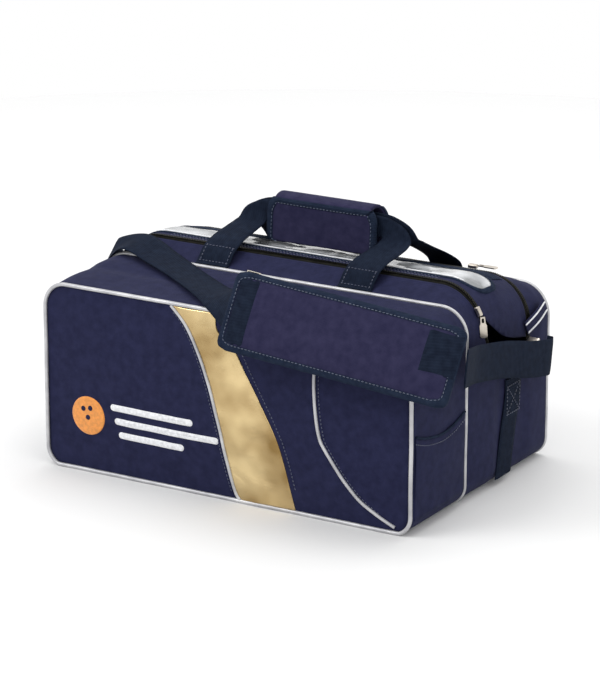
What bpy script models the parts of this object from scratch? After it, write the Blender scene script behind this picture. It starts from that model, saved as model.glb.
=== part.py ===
"""Two-ball bowling tote: soft case, zipped window lid, shoe compartment, carry handles, shoulder strap.

Metres, +Z up, +X along the bag's length, -Y to the front. The origin is the middle of the base.
"""
import math

import bmesh
import bpy
from mathutils import Vector

# Driving dimensions of the case
HALF_LENGTH = 0.2725
HALF_DEPTH = 0.181
SEAM_Y = -0.043
FABRIC = 0.003
GAP = 0.0003
PIPING_R = 0.0023
BASE_CORNER = 0.026
CORNER_STEPS = 6

# Cross-sections of the case: (y, height, top corner radius)
FRONT_Y = -HALF_DEPTH
PANEL_BACK_Y = FRONT_Y + FABRIC + GAP
SEAM_GAP = PIPING_R + GAP
LID_TOP_Z = 0.276
LID_CORNER_R = 0.060
FRONT_SECTIONS = ((PANEL_BACK_Y, 0.250, 0.034), (-0.112, 0.2525, 0.035), (SEAM_Y - SEAM_GAP, 0.256, 0.036))
MAIN_SECTIONS = (
    (SEAM_Y + SEAM_GAP, 0.257, 0.037),
    (-0.018, 0.268, 0.055),
    (0.000, LID_TOP_Z, LID_CORNER_R),
    (0.055, 0.2745, LID_CORNER_R),
    (0.1185, 0.259, LID_CORNER_R),
    (HALF_DEPTH - FABRIC - GAP, 0.2345, 0.042),
)

# Lid: it swings on the rear zipper line, and its front edge is an arc about that line
HINGE_Y = 0.1185
HINGE_Z = 0.259
ZIP_R = 0.1197
TAPE_WIDTH = 0.0045
TAPE_THICKNESS = 0.0012
LID_FLAP_Z = 0.181
OPENING_Z = 0.170
REAR_TAPE_END_Y = HINGE_Y + 0.0105
WINDOW_LOW = (-0.252, 0.020)
WINDOW_HIGH = (0.252, 0.076)
WINDOW_CORNER = 0.020

# Shoe compartment's zipper, zipper sliders and their pulls
POCKET_ZIP_Y = -0.105
POCKET_ZIP_X = (-0.030, 0.232)
POCKET_TAPE_HALF = 0.006
SLIDER_SIZE = (0.013, 0.0075, 0.0055)
PULL_SIZE = (0.027, 0.0095, 0.0016)

# Inside: two balls of 216 mm sit in foam cups on a board
BALL_R = 0.108
BALL_X = 0.125
BALL_Y = 0.068
BALL_CLEARANCE = 0.0008
CUP_R = 0.068
CUP_HEIGHT = 0.0255
BOARD_THICKNESS = 0.004

# Embroidered motif on the front
EMBLEM_CENTRE = (-0.205, 0.078)
EMBLEM_R = 0.026
FINGER_HOLES = ((-0.007, 0.009), (0.004, 0.011), (0.000, -0.002))
FINGER_HOLE_R = 0.0036
STRIPE_HALF = 0.0045
STITCH_HEIGHT = 0.0007

# Reach of the cutting prisms, well past the case
CUT_X = 0.4
CUT_LOW_Z = 0.20
CUT_HIGH_Z = 0.30
CUT_TOP_Z = 0.32

# Handles
WEBBING = 0.0025
HANDLE_HALF_WIDTH = 0.0245
GRIP_HALF_WIDTH = 0.0140
TURN_X = 0.1095
WRAP_BOTTOM_Z = 0.2810
WRAP_TOP_Z = 0.3435
WRAP_SPLIT_Y = 0.0600
WRAP_HALF_LENGTH = 0.0810
WRAP_X = 0.0100
FRONT_PROFILE = ((-0.0360, 0.2635), (-0.0240, 0.2790), (-0.0060, 0.2885), (0.0180, 0.2945), (0.0400, 0.3000),
                 (0.0515, 0.3065), (0.0540, 0.3345))
REAR_PROFILE = ((0.1720, 0.2410), (0.1580, 0.2550), (0.1300, 0.2720), (0.1020, 0.2860), (0.0800, 0.2980),
                (0.0680, 0.3065), (0.0655, 0.3345))

# Shoulder strap
STRAP_WIDTH = 0.049
PAD_LENGTH = 0.310
PAD_WIDTH = 0.100
PAD_THICKNESS = 0.011
PAD_CENTRE = (0.1815, -0.2015, 0.2480)
PAD_ROTATION = (math.radians(64.2), math.radians(6.5), math.radians(4.5))
STRAP_RIGHT_LINE = ((0.3420, -0.1750, 0.2280), (0.3280, -0.1350, 0.2180), (0.3040, -0.0700, 0.2000),
                    (0.2985, 0.0100, 0.1830), (0.3010, 0.0800, 0.1650), (0.3020, 0.1250, 0.1560),
                    (0.2985, 0.1400, 0.1545), (0.2940, 0.1340, 0.1570))
STRAP_LEFT_LINE = ((0.0240, -0.2040, 0.2620), (-0.0030, -0.1790, 0.2640), (-0.0400, -0.1440, 0.2600),
                   (-0.1050, -0.0950, 0.2585), (-0.1700, -0.0590, 0.2645), (-0.2300, -0.0330, 0.2720),
                   (-0.2720, -0.0260, 0.2500), (-0.2825, -0.0060, 0.2300), (-0.2870, 0.0180, 0.2080),
                   (-0.2880, 0.0390, 0.1890))
STRAP_LEFT_SIDES = ((-0.004, -0.0110, -0.0215), (-0.010, -0.0160, -0.0120), (-0.014, -0.0190, -0.0020),
                    (-0.014, -0.0195, 0.0), (-0.013, -0.0200, -0.0020), (-0.009, -0.0215, -0.0060),
                    (-0.001, -0.0180, -0.0160), (0.0, -0.0168, -0.0175), (0.0, -0.0168, -0.0175),
                    (0.0, -0.0168, -0.0175))

# Ends of the strap: webbing on the case, D-rings and snap hooks
END_Y = 0.0800
LOOP_Z = 0.1500
RING_X = HALF_LENGTH + 0.0092
RING_R = 0.0215
RING_LEAN = 0.23
RING_WIRE = 0.0020
HOOK_WIRE = 0.0016

NAVY = (0.035, 0.036, 0.115)
WEB_BLUE = (0.018, 0.030, 0.070)
SILVER = (0.72, 0.72, 0.74)
GOLD = (0.72, 0.50, 0.20)
ZIP_BLACK = (0.018, 0.018, 0.014)
METAL = (0.62, 0.56, 0.48)
WHITE = (0.9, 0.9, 0.92)
ORANGE = (0.85, 0.35, 0.05)

for old in list(bpy.data.objects):
    bpy.data.objects.remove(old, do_unlink=True)
PARTS = bpy.data.collections.new("bowling_tote")
CUTTERS = bpy.data.collections.new("cutters")
bpy.context.scene.collection.children.link(PARTS)
bpy.context.scene.collection.children.link(CUTTERS)


def finish(obj, color, roughness=0.8, metallic=0.0):
    """Give an object its own Principled material and put it among the parts."""
    material = bpy.data.materials.new(obj.name)
    material.use_nodes = True
    shader = material.node_tree.nodes["Principled BSDF"]
    shader.inputs["Base Color"].default_value = (*color, 1.0)
    shader.inputs["Roughness"].default_value = roughness
    shader.inputs["Metallic"].default_value = metallic
    obj.data.materials.clear()
    obj.data.materials.append(material)
    PARTS.objects.link(obj)
    return obj


def mesh_object(name, bm):
    """Turn a bmesh into an object with outward faces."""
    bmesh.ops.recalc_face_normals(bm, faces=bm.faces)
    mesh = bpy.data.meshes.new(name)
    bm.to_mesh(mesh)
    bm.free()
    return bpy.data.objects.new(name, mesh)


def solidify(obj, thickness, offset=-1.0):
    """Thicken an open surface; offset -1 grows inwards from the outer face."""
    modifier = obj.modifiers.new("thickness", "SOLIDIFY")
    modifier.thickness = thickness
    modifier.offset = offset
    modifier.use_even_offset = True


def boolean(obj, tool, operation="DIFFERENCE"):
    """Cut an object, or keep its common part, with a cutting tool."""
    modifier = obj.modifiers.new(operation.lower(), "BOOLEAN")
    modifier.operation = operation
    modifier.object = tool
    modifier.solver = "EXACT"


def as_cutter(obj):
    """Put an object among the cutters."""
    obj.hide_render = True
    obj.display_type = "WIRE"
    CUTTERS.objects.link(obj)
    return obj


def outline(height, top_radius, inset=0.0, base=0.0):
    """Points round an upright cross-section of the case, from its lower right corner, anticlockwise."""
    points = []
    corners = (
        (1, base + BASE_CORNER, BASE_CORNER, -90),
        (1, height - top_radius, top_radius, 0),
        (-1, height - top_radius, top_radius, 90),
        (-1, base + BASE_CORNER, BASE_CORNER, 180),
    )
    for side, centre_z, radius, start in corners:
        centre_x = side * (HALF_LENGTH - radius)
        for step in range(CORNER_STEPS + 1):
            angle = math.radians(start + 90.0 * step / CORNER_STEPS)
            reach = radius - inset
            points.append((centre_x + reach * math.cos(angle), centre_z + reach * math.sin(angle)))
    return points


def section_at(sections, y):
    """Height and corner radius of the case at a depth, between the stated cross-sections."""
    for (y0, h0, r0), (y1, h1, r1) in zip(sections, sections[1:]):
        if y <= y1 or (y1, h1, r1) == sections[-1]:
            part = (y - y0) / (y1 - y0)
            return h0 + (h1 - h0) * part, r0 + (r1 - r0) * part


def loft(name, rings, closed=True):
    """Skin between rings of the same number of points."""
    bm = bmesh.new()
    rows = [[bm.verts.new(point) for point in ring] for ring in rings]
    count = len(rows[0])
    for row, following in zip(rows, rows[1:]):
        for i in range(count if closed else count - 1):
            j = (i + 1) % count
            bm.faces.new((row[i], row[j], following[j], following[i]))
    return mesh_object(name, bm)


def tube(name, sections, lift=0.0):
    """Open tube of fabric through the stated cross-sections."""
    rings = []
    for y, height, radius in sections:
        rings.append([(x, y, z) for x, z in outline(height, radius, inset=-lift)])
    bm_object = loft(name, rings)
    bm = bmesh.new()
    bm.from_mesh(bm_object.data)
    middle = Vector((0.0, 0.0, 0.12))
    face = max(bm.faces, key=lambda f: f.calc_center_median().z)
    if face.normal.dot(face.calc_center_median() - middle) < 0:
        bmesh.ops.reverse_faces(bm, faces=bm.faces)
    bm.to_mesh(bm_object.data)
    bm.free()
    return bm_object


def prism(name, profile, low, high, axis="X"):
    """Closed prism of a flat profile; along X the profile is (y, z), along Z it is (x, y)."""
    bm = bmesh.new()
    place = {"X": lambda p, t: (t, p[0], p[1]), "Y": lambda p, t: (p[0], t, p[1]),
             "Z": lambda p, t: (p[0], p[1], t)}[axis]
    ends = [[bm.verts.new(place(p, t)) for p in profile] for t in (low, high)]
    bm.faces.new(ends[0])
    bm.faces.new(ends[1])
    for i in range(len(profile)):
        j = (i + 1) % len(profile)
        bm.faces.new((ends[0][i], ends[0][j], ends[1][j], ends[1][i]))
    return mesh_object(name, bm)


def box(name, low, high):
    """Closed box between two corners."""
    profile = ((low[0], low[1]), (high[0], low[1]), (high[0], high[1]), (low[0], high[1]))
    return prism(name, profile, low[2], high[2], axis="Z")


def bevel(obj, width, segments=2):
    """Round an object's sharp edges."""
    modifier = obj.modifiers.new("round", "BEVEL")
    modifier.width = width
    modifier.segments = segments
    modifier.limit_method = "ANGLE"
    modifier.angle_limit = math.radians(40)


def plate(name, points, y, thickness):
    """Flat upright plate with its front face at y."""
    return prism(name, points, y, y + thickness, axis="Y")


def cord_curve(name, points, radius, cyclic=False, resolution=2):
    """Round cord or wire along points."""
    curve = bpy.data.curves.new(name, "CURVE")
    curve.dimensions = "3D"
    curve.bevel_depth = radius
    curve.bevel_resolution = resolution
    curve.use_fill_caps = not cyclic
    spline = curve.splines.new("POLY")
    spline.points.add(len(points) - 1)
    for target, point in zip(spline.points, points):
        target.co = (*point, 1.0)
    spline.use_cyclic_u = cyclic
    return bpy.data.objects.new(name, curve)


def smooth(points, steps=4):
    """Catmull-Rom curve through points of any dimension."""
    padded = [points[0], *points, points[-1]]
    result = []
    for a, b, c, d in zip(padded, padded[1:], padded[2:], padded[3:]):
        for step in range(steps):
            t = step / steps
            result.append(tuple(
                0.5 * (2 * q + (r - p) * t + (2 * p - 5 * q + 4 * r - s) * t * t
                       + (3 * q - p - 3 * r + s) * t ** 3)
                for p, q, r, s in zip(a, b, c, d)))
    result.append(tuple(points[-1]))
    return result


def arc_points(centre, radius, start, end, steps):
    """Points on an arc, angles in degrees."""
    points = []
    for step in range(steps + 1):
        angle = math.radians(start + (end - start) * step / steps)
        points.append((centre[0] + radius * math.cos(angle), centre[1] + radius * math.sin(angle)))
    return points


def band(name, centres, sides, thickness, steps=4):
    """Flat webbing: centre points and half-width vectors, thickened evenly about its middle."""
    path = smooth(centres, steps)
    across = smooth(sides, steps)
    rows = [[Vector(c) + Vector(s), Vector(c), Vector(c) - Vector(s)] for c, s in zip(path, across)]
    obj = loft(name, rows, closed=False)
    solidify(obj, thickness, offset=0.0)
    return obj


# ---------------------------------------------------------------- case

def zip_profile(radius, low_z, rear_y):
    """(y, z) profile of everything inside an arc about the lid's hinge and above a level."""
    low_angle = math.degrees(math.asin((HINGE_Z - low_z) / radius))
    points = arc_points((HINGE_Y, HINGE_Z), radius, 150, 180 + low_angle, 14)
    points.append((rear_y, low_z))
    points.append((rear_y, HINGE_Z + radius * 0.5))
    return points


def make_case():
    """Front and rear panels, the two gussets and the divider between the compartments."""
    front = plate("front_panel", outline(0.250, 0.034), FRONT_Y, FABRIC)
    finish(front, NAVY)
    rear = plate("rear_panel", outline(0.2345, 0.042), HALF_DEPTH - FABRIC, FABRIC)
    finish(rear, NAVY)

    pocket = tube("front_gusset", FRONT_SECTIONS)
    solidify(pocket, FABRIC)
    slot = box("pocket_zip_slot", (POCKET_ZIP_X[0], POCKET_ZIP_Y - POCKET_TAPE_HALF, CUT_LOW_Z),
               (POCKET_ZIP_X[1], POCKET_ZIP_Y + POCKET_TAPE_HALF, CUT_HIGH_Z))
    boolean(pocket, as_cutter(slot))
    finish(pocket, NAVY)

    main = tube("main_gusset", MAIN_SECTIONS)
    solidify(main, FABRIC)
    opening = zip_profile(ZIP_R + TAPE_WIDTH + 2 * GAP, OPENING_Z, REAR_TAPE_END_Y + GAP)
    boolean(main, as_cutter(prism("lid_opening", opening, -CUT_X, CUT_X)))
    finish(main, NAVY)

    inset = 2 * PIPING_R + 2 * GAP
    height, radius = 0.2565, 0.0365
    divider = plate("divider_panel", outline(height, radius, inset), SEAM_Y - 0.0015, 0.003)
    finish(divider, NAVY)


def ring_piping(name, y, height, radius, inset):
    """Piping cord all round a cross-section, resting no lower than the base."""
    points = []
    for x, z in outline(height, radius, inset):
        points.append((x, y, max(z, PIPING_R + GAP)))
    finish(cord_curve(name, points, PIPING_R, cyclic=True), SILVER, 0.45)


def make_pipings():
    """The three white piping rings that close the case's seams."""
    clear = PIPING_R + GAP
    ring_piping("front_piping", FRONT_Y - clear, 0.250, 0.034, PIPING_R)
    ring_piping("seam_piping", SEAM_Y, 0.2575, 0.0365, PIPING_R * 0.6)
    ring_piping("rear_piping", HALF_DEPTH + clear, 0.2345, 0.042, PIPING_R)


def make_front_trim():
    """Gold panel, its piping, the curved piping and the embroidered motif on the front face."""
    face = FRONT_Y - GAP
    left = smooth([(-0.076, 0.2450), (-0.055, 0.226), (-0.035, 0.195), (-0.017, 0.153), (-0.004, 0.106),
                   (0.006, 0.061), (0.018, 0.016), (0.024, 0.0055)], 3)
    right = smooth([(-0.010, 0.2450), (-0.006, 0.224), (0.016, 0.209), (0.042, 0.166), (0.070, 0.120),
                    (0.086, 0.087), (0.098, 0.044), (0.107, 0.0055)], 3)
    trim_r = 0.0019
    shift = trim_r + 0.0014
    edge = [(x + shift, z) for x, z in left]
    gold = plate("gold_panel", edge + right[::-1], face - 0.0010, 0.0010)
    finish(gold, GOLD, 0.3, 0.85)
    seam = [(x, face - trim_r, min(max(z, 0.0080), 0.2425)) for x, z in left]
    finish(cord_curve("gold_piping", seam, trim_r), SILVER, 0.45)
    arc = smooth([(0.139, 0.2400), (0.136, 0.205), (0.1365, 0.168), (0.143, 0.115), (0.154, 0.092),
                  (0.175, 0.063), (0.201, 0.036), (0.227, 0.020), (0.247, 0.0110)], 3)
    finish(cord_curve("arc_piping", [(x, face - trim_r, z) for x, z in arc], trim_r), SILVER, 0.45)

    ball = emblem_disc("emblem_ball", EMBLEM_CENTRE, EMBLEM_R, face)
    finish(ball, ORANGE, 0.6)
    for i, length in enumerate((0.118, 0.150, 0.092)):
        z = 0.096 - 0.018 * i
        start = -0.165 + 0.006 * i
        profile = arc_points((start + length, z), STRIPE_HALF, -90, 90, 6)
        profile += arc_points((start, z), STRIPE_HALF, 90, 270, 6)
        finish(plate("emblem_stripe_%d" % (i + 1), profile, face - STITCH_HEIGHT, STITCH_HEIGHT), WHITE, 0.6)


def emblem_disc(name, centre, radius, y):
    """Round embroidered ball with three finger holes."""
    disc = plate(name, arc_points(centre, radius, 0, 345, 23), y - STITCH_HEIGHT, STITCH_HEIGHT)
    for i, (dx, dz) in enumerate(FINGER_HOLES):
        rim = arc_points((centre[0] + dx, centre[1] + dz), FINGER_HOLE_R, 0, 330, 11)
        hole = plate("%s_hole_%d" % (name, i), rim, y - 0.003, 0.006)
        boolean(disc, as_cutter(hole))
    return disc


# ---------------------------------------------------------------- inside

def make_inside():
    """Base board, the two ball cups and the foam divider between the balls."""
    inner = FABRIC + 0.001
    board = box("base_board", (-HALF_LENGTH + 0.030, SEAM_Y + 0.010, inner),
                (HALF_LENGTH - 0.030, 0.168, inner + BOARD_THICKNESS))
    finish(board, (0.03, 0.03, 0.03), 0.7)
    above_board = inner + BOARD_THICKNESS + 0.0005
    for name, x in (("ball_cup_left", -BALL_X), ("ball_cup_right", BALL_X)):
        rim = arc_points((x, BALL_Y), CUP_R, 0, 348, 29)
        cup = prism(name, rim, above_board, above_board + CUP_HEIGHT, axis="Z")
        sphere = bmesh.new()
        bmesh.ops.create_uvsphere(sphere, u_segments=32, v_segments=24, radius=BALL_R + BALL_CLEARANCE)
        bmesh.ops.translate(sphere, verts=sphere.verts, vec=(x, BALL_Y, inner + 0.011 + BALL_R))
        boolean(cup, as_cutter(mesh_object(name + "_seat", sphere)))
        finish(cup, (0.05, 0.05, 0.055), 0.9)
    wall = box("ball_divider", (-0.005, SEAM_Y + 0.012, above_board), (0.005, 0.165, 0.145))
    bevel(wall, 0.002)
    finish(wall, (0.05, 0.05, 0.055), 0.9)


# ---------------------------------------------------------------- lid and zippers

def lid_flap_profile(radius):
    """(y, z) profile of the lid: arc in front, and end flaps whose lower front corner is rounded away."""
    points = arc_points((HINGE_Y, HINGE_Z), radius, 150, 190, 8)
    points += [(0.022, 0.222), (0.048, 0.203), (0.075, 0.191), (HINGE_Y - GAP, LID_FLAP_Z)]
    points.append((HINGE_Y - GAP, HINGE_Z + radius * 0.5))
    return points


def make_lid():
    """Window lid: a strip of the case's outline that turns down over both ends, with a clear window."""
    frame = tube("lid_frame", MAIN_SECTIONS)
    solidify(frame, FABRIC)
    inner_radius = ZIP_R - TAPE_WIDTH - GAP
    boolean(frame, as_cutter(prism("lid_shape", lid_flap_profile(inner_radius), -CUT_X, CUT_X)), "INTERSECT")
    (low_x, low_y), (high_x, high_y) = WINDOW_LOW, WINDOW_HIGH
    window_outline = rounded_rectangle(WINDOW_LOW, WINDOW_HIGH, WINDOW_CORNER)
    boolean(frame, as_cutter(prism("window_hole", window_outline, CUT_LOW_Z, CUT_TOP_Z, axis="Z")))
    finish(frame, NAVY)

    window = tube("lid_window", MAIN_SECTIONS, lift=-0.001)
    solidify(window, 0.0010)
    pane = rounded_rectangle((low_x + GAP, low_y + GAP), (high_x - GAP, high_y - GAP), WINDOW_CORNER - GAP)
    boolean(window, as_cutter(prism("window_shape", pane, CUT_LOW_Z, CUT_TOP_Z, axis="Z")), "INTERSECT")
    finish(window, (0.8, 0.82, 0.85), 0.1)

    make_tape("lid_zip_tape", ZIP_R - TAPE_WIDTH, ZIP_R - GAP / 2, 200)
    make_tape("case_zip_tape", ZIP_R + GAP / 2, ZIP_R + TAPE_WIDTH + GAP, 225)
    rear = tube("rear_zip_tape", MAIN_SECTIONS, lift=-0.0004)
    solidify(rear, TAPE_THICKNESS)
    region = prism("rear_tape_shape", ((HINGE_Y + GAP, OPENING_Z + GAP), (REAR_TAPE_END_Y, OPENING_Z + GAP),
                                       (REAR_TAPE_END_Y, CUT_TOP_Z), (HINGE_Y + GAP, CUT_TOP_Z)), -CUT_X, CUT_X)
    boolean(rear, as_cutter(region), "INTERSECT")
    finish(rear, ZIP_BLACK, 0.6)


def make_tape(name, inner, outer, low_angle):
    """Zipper tape along the lid's front edge, between two radii about the hinge."""
    tape = tube(name, MAIN_SECTIONS, lift=-0.0004)
    solidify(tape, TAPE_THICKNESS)
    centre = (HINGE_Y, HINGE_Z)
    profile = arc_points(centre, inner, 150, low_angle, 14) + arc_points(centre, outer, low_angle, 150, 14)
    boolean(tape, as_cutter(prism(name + "_shape", profile, -CUT_X, CUT_X)), "INTERSECT")
    finish(tape, ZIP_BLACK, 0.6)


def rounded_rectangle(low, high, radius):
    """Outline of a flat rounded rectangle."""
    points = arc_points((high[0] - radius, low[1] + radius), radius, -90, 0, 4)
    points += arc_points((high[0] - radius, high[1] - radius), radius, 0, 90, 4)
    points += arc_points((low[0] + radius, high[1] - radius), radius, 90, 180, 4)
    points += arc_points((low[0] + radius, low[1] + radius), radius, 180, 270, 4)
    return points


def make_slider(name, place, tilt, droop):
    """Zipper slider on a surface tilted about Y, with a pull hinged at its outer end."""
    pivot = bpy.data.objects.new(name + "_frame", None)
    pivot.location = place
    pivot.rotation_euler = (0.0, math.radians(tilt), 0.0)
    PARTS.objects.link(pivot)
    half_length, half_width = SLIDER_SIZE[0] / 2, SLIDER_SIZE[1] / 2
    body = box(name, (-half_length, -half_width, 0.0), (half_length, half_width, SLIDER_SIZE[2]))
    bevel(body, 0.0015)
    body.parent = pivot
    finish(body, METAL, 0.3, 1.0)

    joint = bpy.data.objects.new(name + "_pull_frame", None)
    joint.location = (half_length + 0.0016, 0.0, SLIDER_SIZE[2] - 0.0008)
    joint.rotation_euler = (0.0, math.radians(droop), 0.0)
    joint.parent = pivot
    PARTS.objects.link(joint)
    length, width, thickness = PULL_SIZE
    outline_points = [(0.0, -0.003), (0.009, -0.0035), (0.011, -width / 2), (length - 0.002, -width / 2),
                      (length, -width / 2 + 0.002), (length, width / 2 - 0.002), (length - 0.002, width / 2),
                      (0.011, width / 2), (0.009, 0.0035), (0.0, 0.003)]
    pull = prism(name + "_pull", outline_points, -thickness / 2, thickness / 2, axis="Z")
    eye = rounded_rectangle((0.0018, -0.0017), (0.0078, 0.0017), 0.0015)
    hole = prism(name + "_pull_hole", eye, -0.01, 0.01, axis="Z")
    hole.parent = joint
    boolean(pull, as_cutter(hole))
    pull.parent = joint
    finish(pull, METAL, 0.3, 1.0)


def make_zippers():
    """Sliders and pulls of the two main zippers and of the shoe compartment, and that zipper's tape."""
    corner_x, corner_z, corner_r = HALF_LENGTH - LID_CORNER_R, LID_TOP_Z - LID_CORNER_R, LID_CORNER_R
    tilt = 62.0
    reach = corner_r + 0.0006
    angle = math.radians(90 - tilt)
    place = (corner_x + reach * math.cos(angle), HINGE_Y - ZIP_R - 0.0048, corner_z + reach * math.sin(angle))
    make_slider("front_slider", place, tilt, 22.0)
    make_slider("rear_slider", (0.190, HINGE_Y + 0.0072, 0.2590), 0.0, 0.0)
    height, _ = section_at(FRONT_SECTIONS, POCKET_ZIP_Y)
    make_slider("pocket_slider", (0.190, POCKET_ZIP_Y, height + 0.0010), 0.0, 0.0)
    half = POCKET_TAPE_HALF - GAP
    tape = box("pocket_zip_tape", (POCKET_ZIP_X[0] + GAP, POCKET_ZIP_Y - half, height - 0.0010 - TAPE_THICKNESS),
               (POCKET_ZIP_X[1] - GAP, POCKET_ZIP_Y + half, height - 0.0010))
    finish(tape, ZIP_BLACK, 0.6)


# ---------------------------------------------------------------- handles

def along_profile(profile, distance):
    """Point at a distance along a (y, z) profile."""
    left = distance
    for (y0, z0), (y1, z1) in zip(profile, profile[1:]):
        span = math.hypot(y1 - y0, z1 - z0)
        if left <= span or (y1, z1) == profile[-1]:
            part = left / span
            return y0 + (y1 - y0) * part, z0 + (z1 - z0) * part
        left -= span


def handle(name, profile, root_x):
    """U-shaped webbing handle: two legs that rise from the gusset and turn into one grip."""
    smooth_profile = smooth(profile, 4)
    total = sum(math.hypot(b[0] - a[0], b[1] - a[1]) for a, b in zip(smooth_profile, smooth_profile[1:]))
    grip_v = total - 0.0165
    legs = ((root_x, 0.0, HANDLE_HALF_WIDTH, 0.0), (root_x, 0.030, HANDLE_HALF_WIDTH, 0.0),
            (TURN_X, grip_v - 0.032, 0.0225, 0.0), (TURN_X - 0.004, grip_v - 0.012, 0.0185, 0.008),
            (0.0930, grip_v - 0.002, 0.008, GRIP_HALF_WIDTH - 0.002), (0.0730, grip_v, 0.0, GRIP_HALF_WIDTH))
    path = list(legs) + [(0.0, grip_v, 0.0, GRIP_HALF_WIDTH)]
    path += [(-x, v, -side, rise) for x, v, side, rise in legs[::-1]]
    path = [(x + WRAP_X * min(v / (grip_v - 0.032), 1.0), v, side, rise) for x, v, side, rise in path]
    rows = []
    for x, v, side, rise in smooth(path, 4):
        row = []
        for offset in (1.0, 0.0, -1.0):
            y, z = along_profile(smooth_profile, v + rise * offset)
            row.append((x + side * offset, y, z))
        rows.append(row)
    obj = loft(name, rows, closed=False)
    solidify(obj, WEBBING, offset=0.0)
    return finish(obj, WEB_BLUE, 0.75)


def wrap_half(name, outer_y_bottom, outer_y_top, side):
    """Half of the padded hand wrap, an upright pad with rounded corners that turns over the grips."""
    thickness = 0.0045
    split = WRAP_SPLIT_Y + side * 0.0004
    section = [(outer_y_bottom, WRAP_BOTTOM_Z), (outer_y_top, WRAP_TOP_Z - 0.008),
               (outer_y_top - side * 0.004, WRAP_TOP_Z - 0.002), (split, WRAP_TOP_Z),
               (split, WRAP_TOP_Z - thickness), (outer_y_top - side * 0.0045, WRAP_TOP_Z - thickness - 0.004),
               (outer_y_bottom - side * thickness, WRAP_BOTTOM_Z)]
    low_x, high_x = WRAP_X - WRAP_HALF_LENGTH, WRAP_X + WRAP_HALF_LENGTH
    solid = prism(name, section, low_x, high_x)
    corner, foot = 0.022, 0.008
    face = arc_points((high_x - corner, WRAP_TOP_Z - corner), corner, 0, 90, 5)
    face += arc_points((low_x + corner, WRAP_TOP_Z - corner), corner, 90, 180, 5)
    face += arc_points((low_x + foot, WRAP_BOTTOM_Z + foot), foot, 180, 270, 3)
    face += arc_points((high_x - foot, WRAP_BOTTOM_Z + foot), foot, 270, 360, 3)
    boolean(solid, as_cutter(prism(name + "_outline", face, -0.1, 0.2, axis="Y")), "INTERSECT")
    return finish(solid, NAVY)


def make_handles():
    """Both carry handles and the two halves of the hand wrap."""
    handle("front_handle", FRONT_PROFILE, 0.107)
    handle("rear_handle", REAR_PROFILE, 0.125)
    wrap_half("front_wrap", 0.0405, 0.0450, -1)
    wrap_half("rear_wrap", 0.0805, 0.0755, 1)


# ---------------------------------------------------------------- shoulder strap

def make_end_webbing(side, name):
    """Webbing sewn down one end of the case, with the D-ring that its top loop holds."""
    x = side * (HALF_LENGTH + GAP + WEBBING / 2 + 0.0003)
    strip = band("end_webbing_" + name, [(x, END_Y - 0.020, 0.030), (x, END_Y - 0.010, 0.075),
                                         (x, END_Y, 0.115), (x, END_Y, LOOP_Z - 0.012)],
                 [(0, 0.021, 0)] * 4, WEBBING, 2)
    finish(strip, WEB_BLUE, 0.75)
    keeper_x = side * RING_X
    keeper = band("ring_keeper_" + name,
                  [(x, END_Y, LOOP_Z - 0.0105), (x + side * 0.0012, END_Y, LOOP_Z),
                   (keeper_x, END_Y, LOOP_Z + 0.0042), (keeper_x + side * 0.0042, END_Y, LOOP_Z),
                   (keeper_x + side * 0.0010, END_Y, LOOP_Z - 0.0055),
                   (x + side * 0.0042, END_Y, LOOP_Z - 0.0110)], [(0, 0.0165, 0)] * 6, 0.0018, 3)
    finish(keeper, WEB_BLUE, 0.75)
    ring = [(END_Y, LOOP_Z), (END_Y - RING_R, LOOP_Z)]
    ring += arc_points((END_Y, LOOP_Z + 0.004), RING_R, 180, 0, 10)
    ring += [(END_Y + RING_R, LOOP_Z)]
    points = [(side * (RING_X + RING_LEAN * (z - LOOP_Z)), y, z) for y, z in ring]
    finish(cord_curve("d_ring_" + name, points, RING_WIRE, cyclic=True), METAL, 0.3, 1.0)


def make_hook(side, name, roll):
    """Snap hook on the D-ring: a body, a hooked wire through the ring, and a gate hinged on the body."""
    turn = math.radians(roll)

    def place(out, along, across=0.0):
        """Outward offset, distance from the ring's centre, and offset along the ring's wire."""
        y = END_Y - along * math.sin(turn) + across * math.cos(turn)
        z = LOOP_Z + 0.004 + along * math.cos(turn) + across * math.sin(turn)
        return (side * (RING_X + RING_LEAN * (0.004 + RING_R * math.cos(turn)) + out), y, z)

    wire = [(0.0066, 0.0340), (0.0070, 0.0240), (0.0055, 0.0165), (0.0, 0.0140), (-0.0055, 0.0165),
            (-0.0068, 0.0225)]
    hook = cord_curve("hook_" + name, [place(out, along) for out, along in smooth(wire, 3)], HOOK_WIRE)
    finish(hook, METAL, 0.3, 1.0)
    gate = cord_curve("hook_gate_" + name, [place(-0.0062, 0.0252), place(-0.0045, 0.0338)], HOOK_WIRE * 0.8)
    finish(gate, METAL, 0.3, 1.0)
    bm = bmesh.new()
    for across in (-0.0100, 0.0100):
        for along in (0.0362, 0.0462):
            for out in (-0.0075, 0.0085):
                bm.verts.new(place(out, along, across))
    bmesh.ops.convex_hull(bm, input=bm.verts)
    swivel = mesh_object("hook_swivel_" + name, bm)
    bevel(swivel, 0.0015)
    finish(swivel, METAL, 0.3, 1.0)


def make_strap():
    """Shoulder strap: pad, slide buckle and the runs of webbing to both ends."""
    for side, name, roll in ((1, "right", -65.0), (-1, "left", 50.0)):
        make_end_webbing(side, name)
        make_hook(side, name, roll)
    make_pad()
    half = STRAP_WIDTH / 2
    right = band("strap_right", STRAP_RIGHT_LINE, [(0.0, 0.004, half * 0.97)] * 8, WEBBING)
    finish(right, WEB_BLUE, 0.75)
    left = band("strap_left", STRAP_LEFT_LINE, STRAP_LEFT_SIDES, WEBBING)
    finish(left, WEB_BLUE, 0.75)
    tab = band("end_tab", [(0.2756, 0.1130, 0.1930), (0.2785, 0.1380, 0.2030), (0.2770, 0.1620, 0.2120)],
               [(0.0, 0.006, -0.010)] * 3, 0.002, 3)
    finish(tab, NAVY, 0.7)


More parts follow.
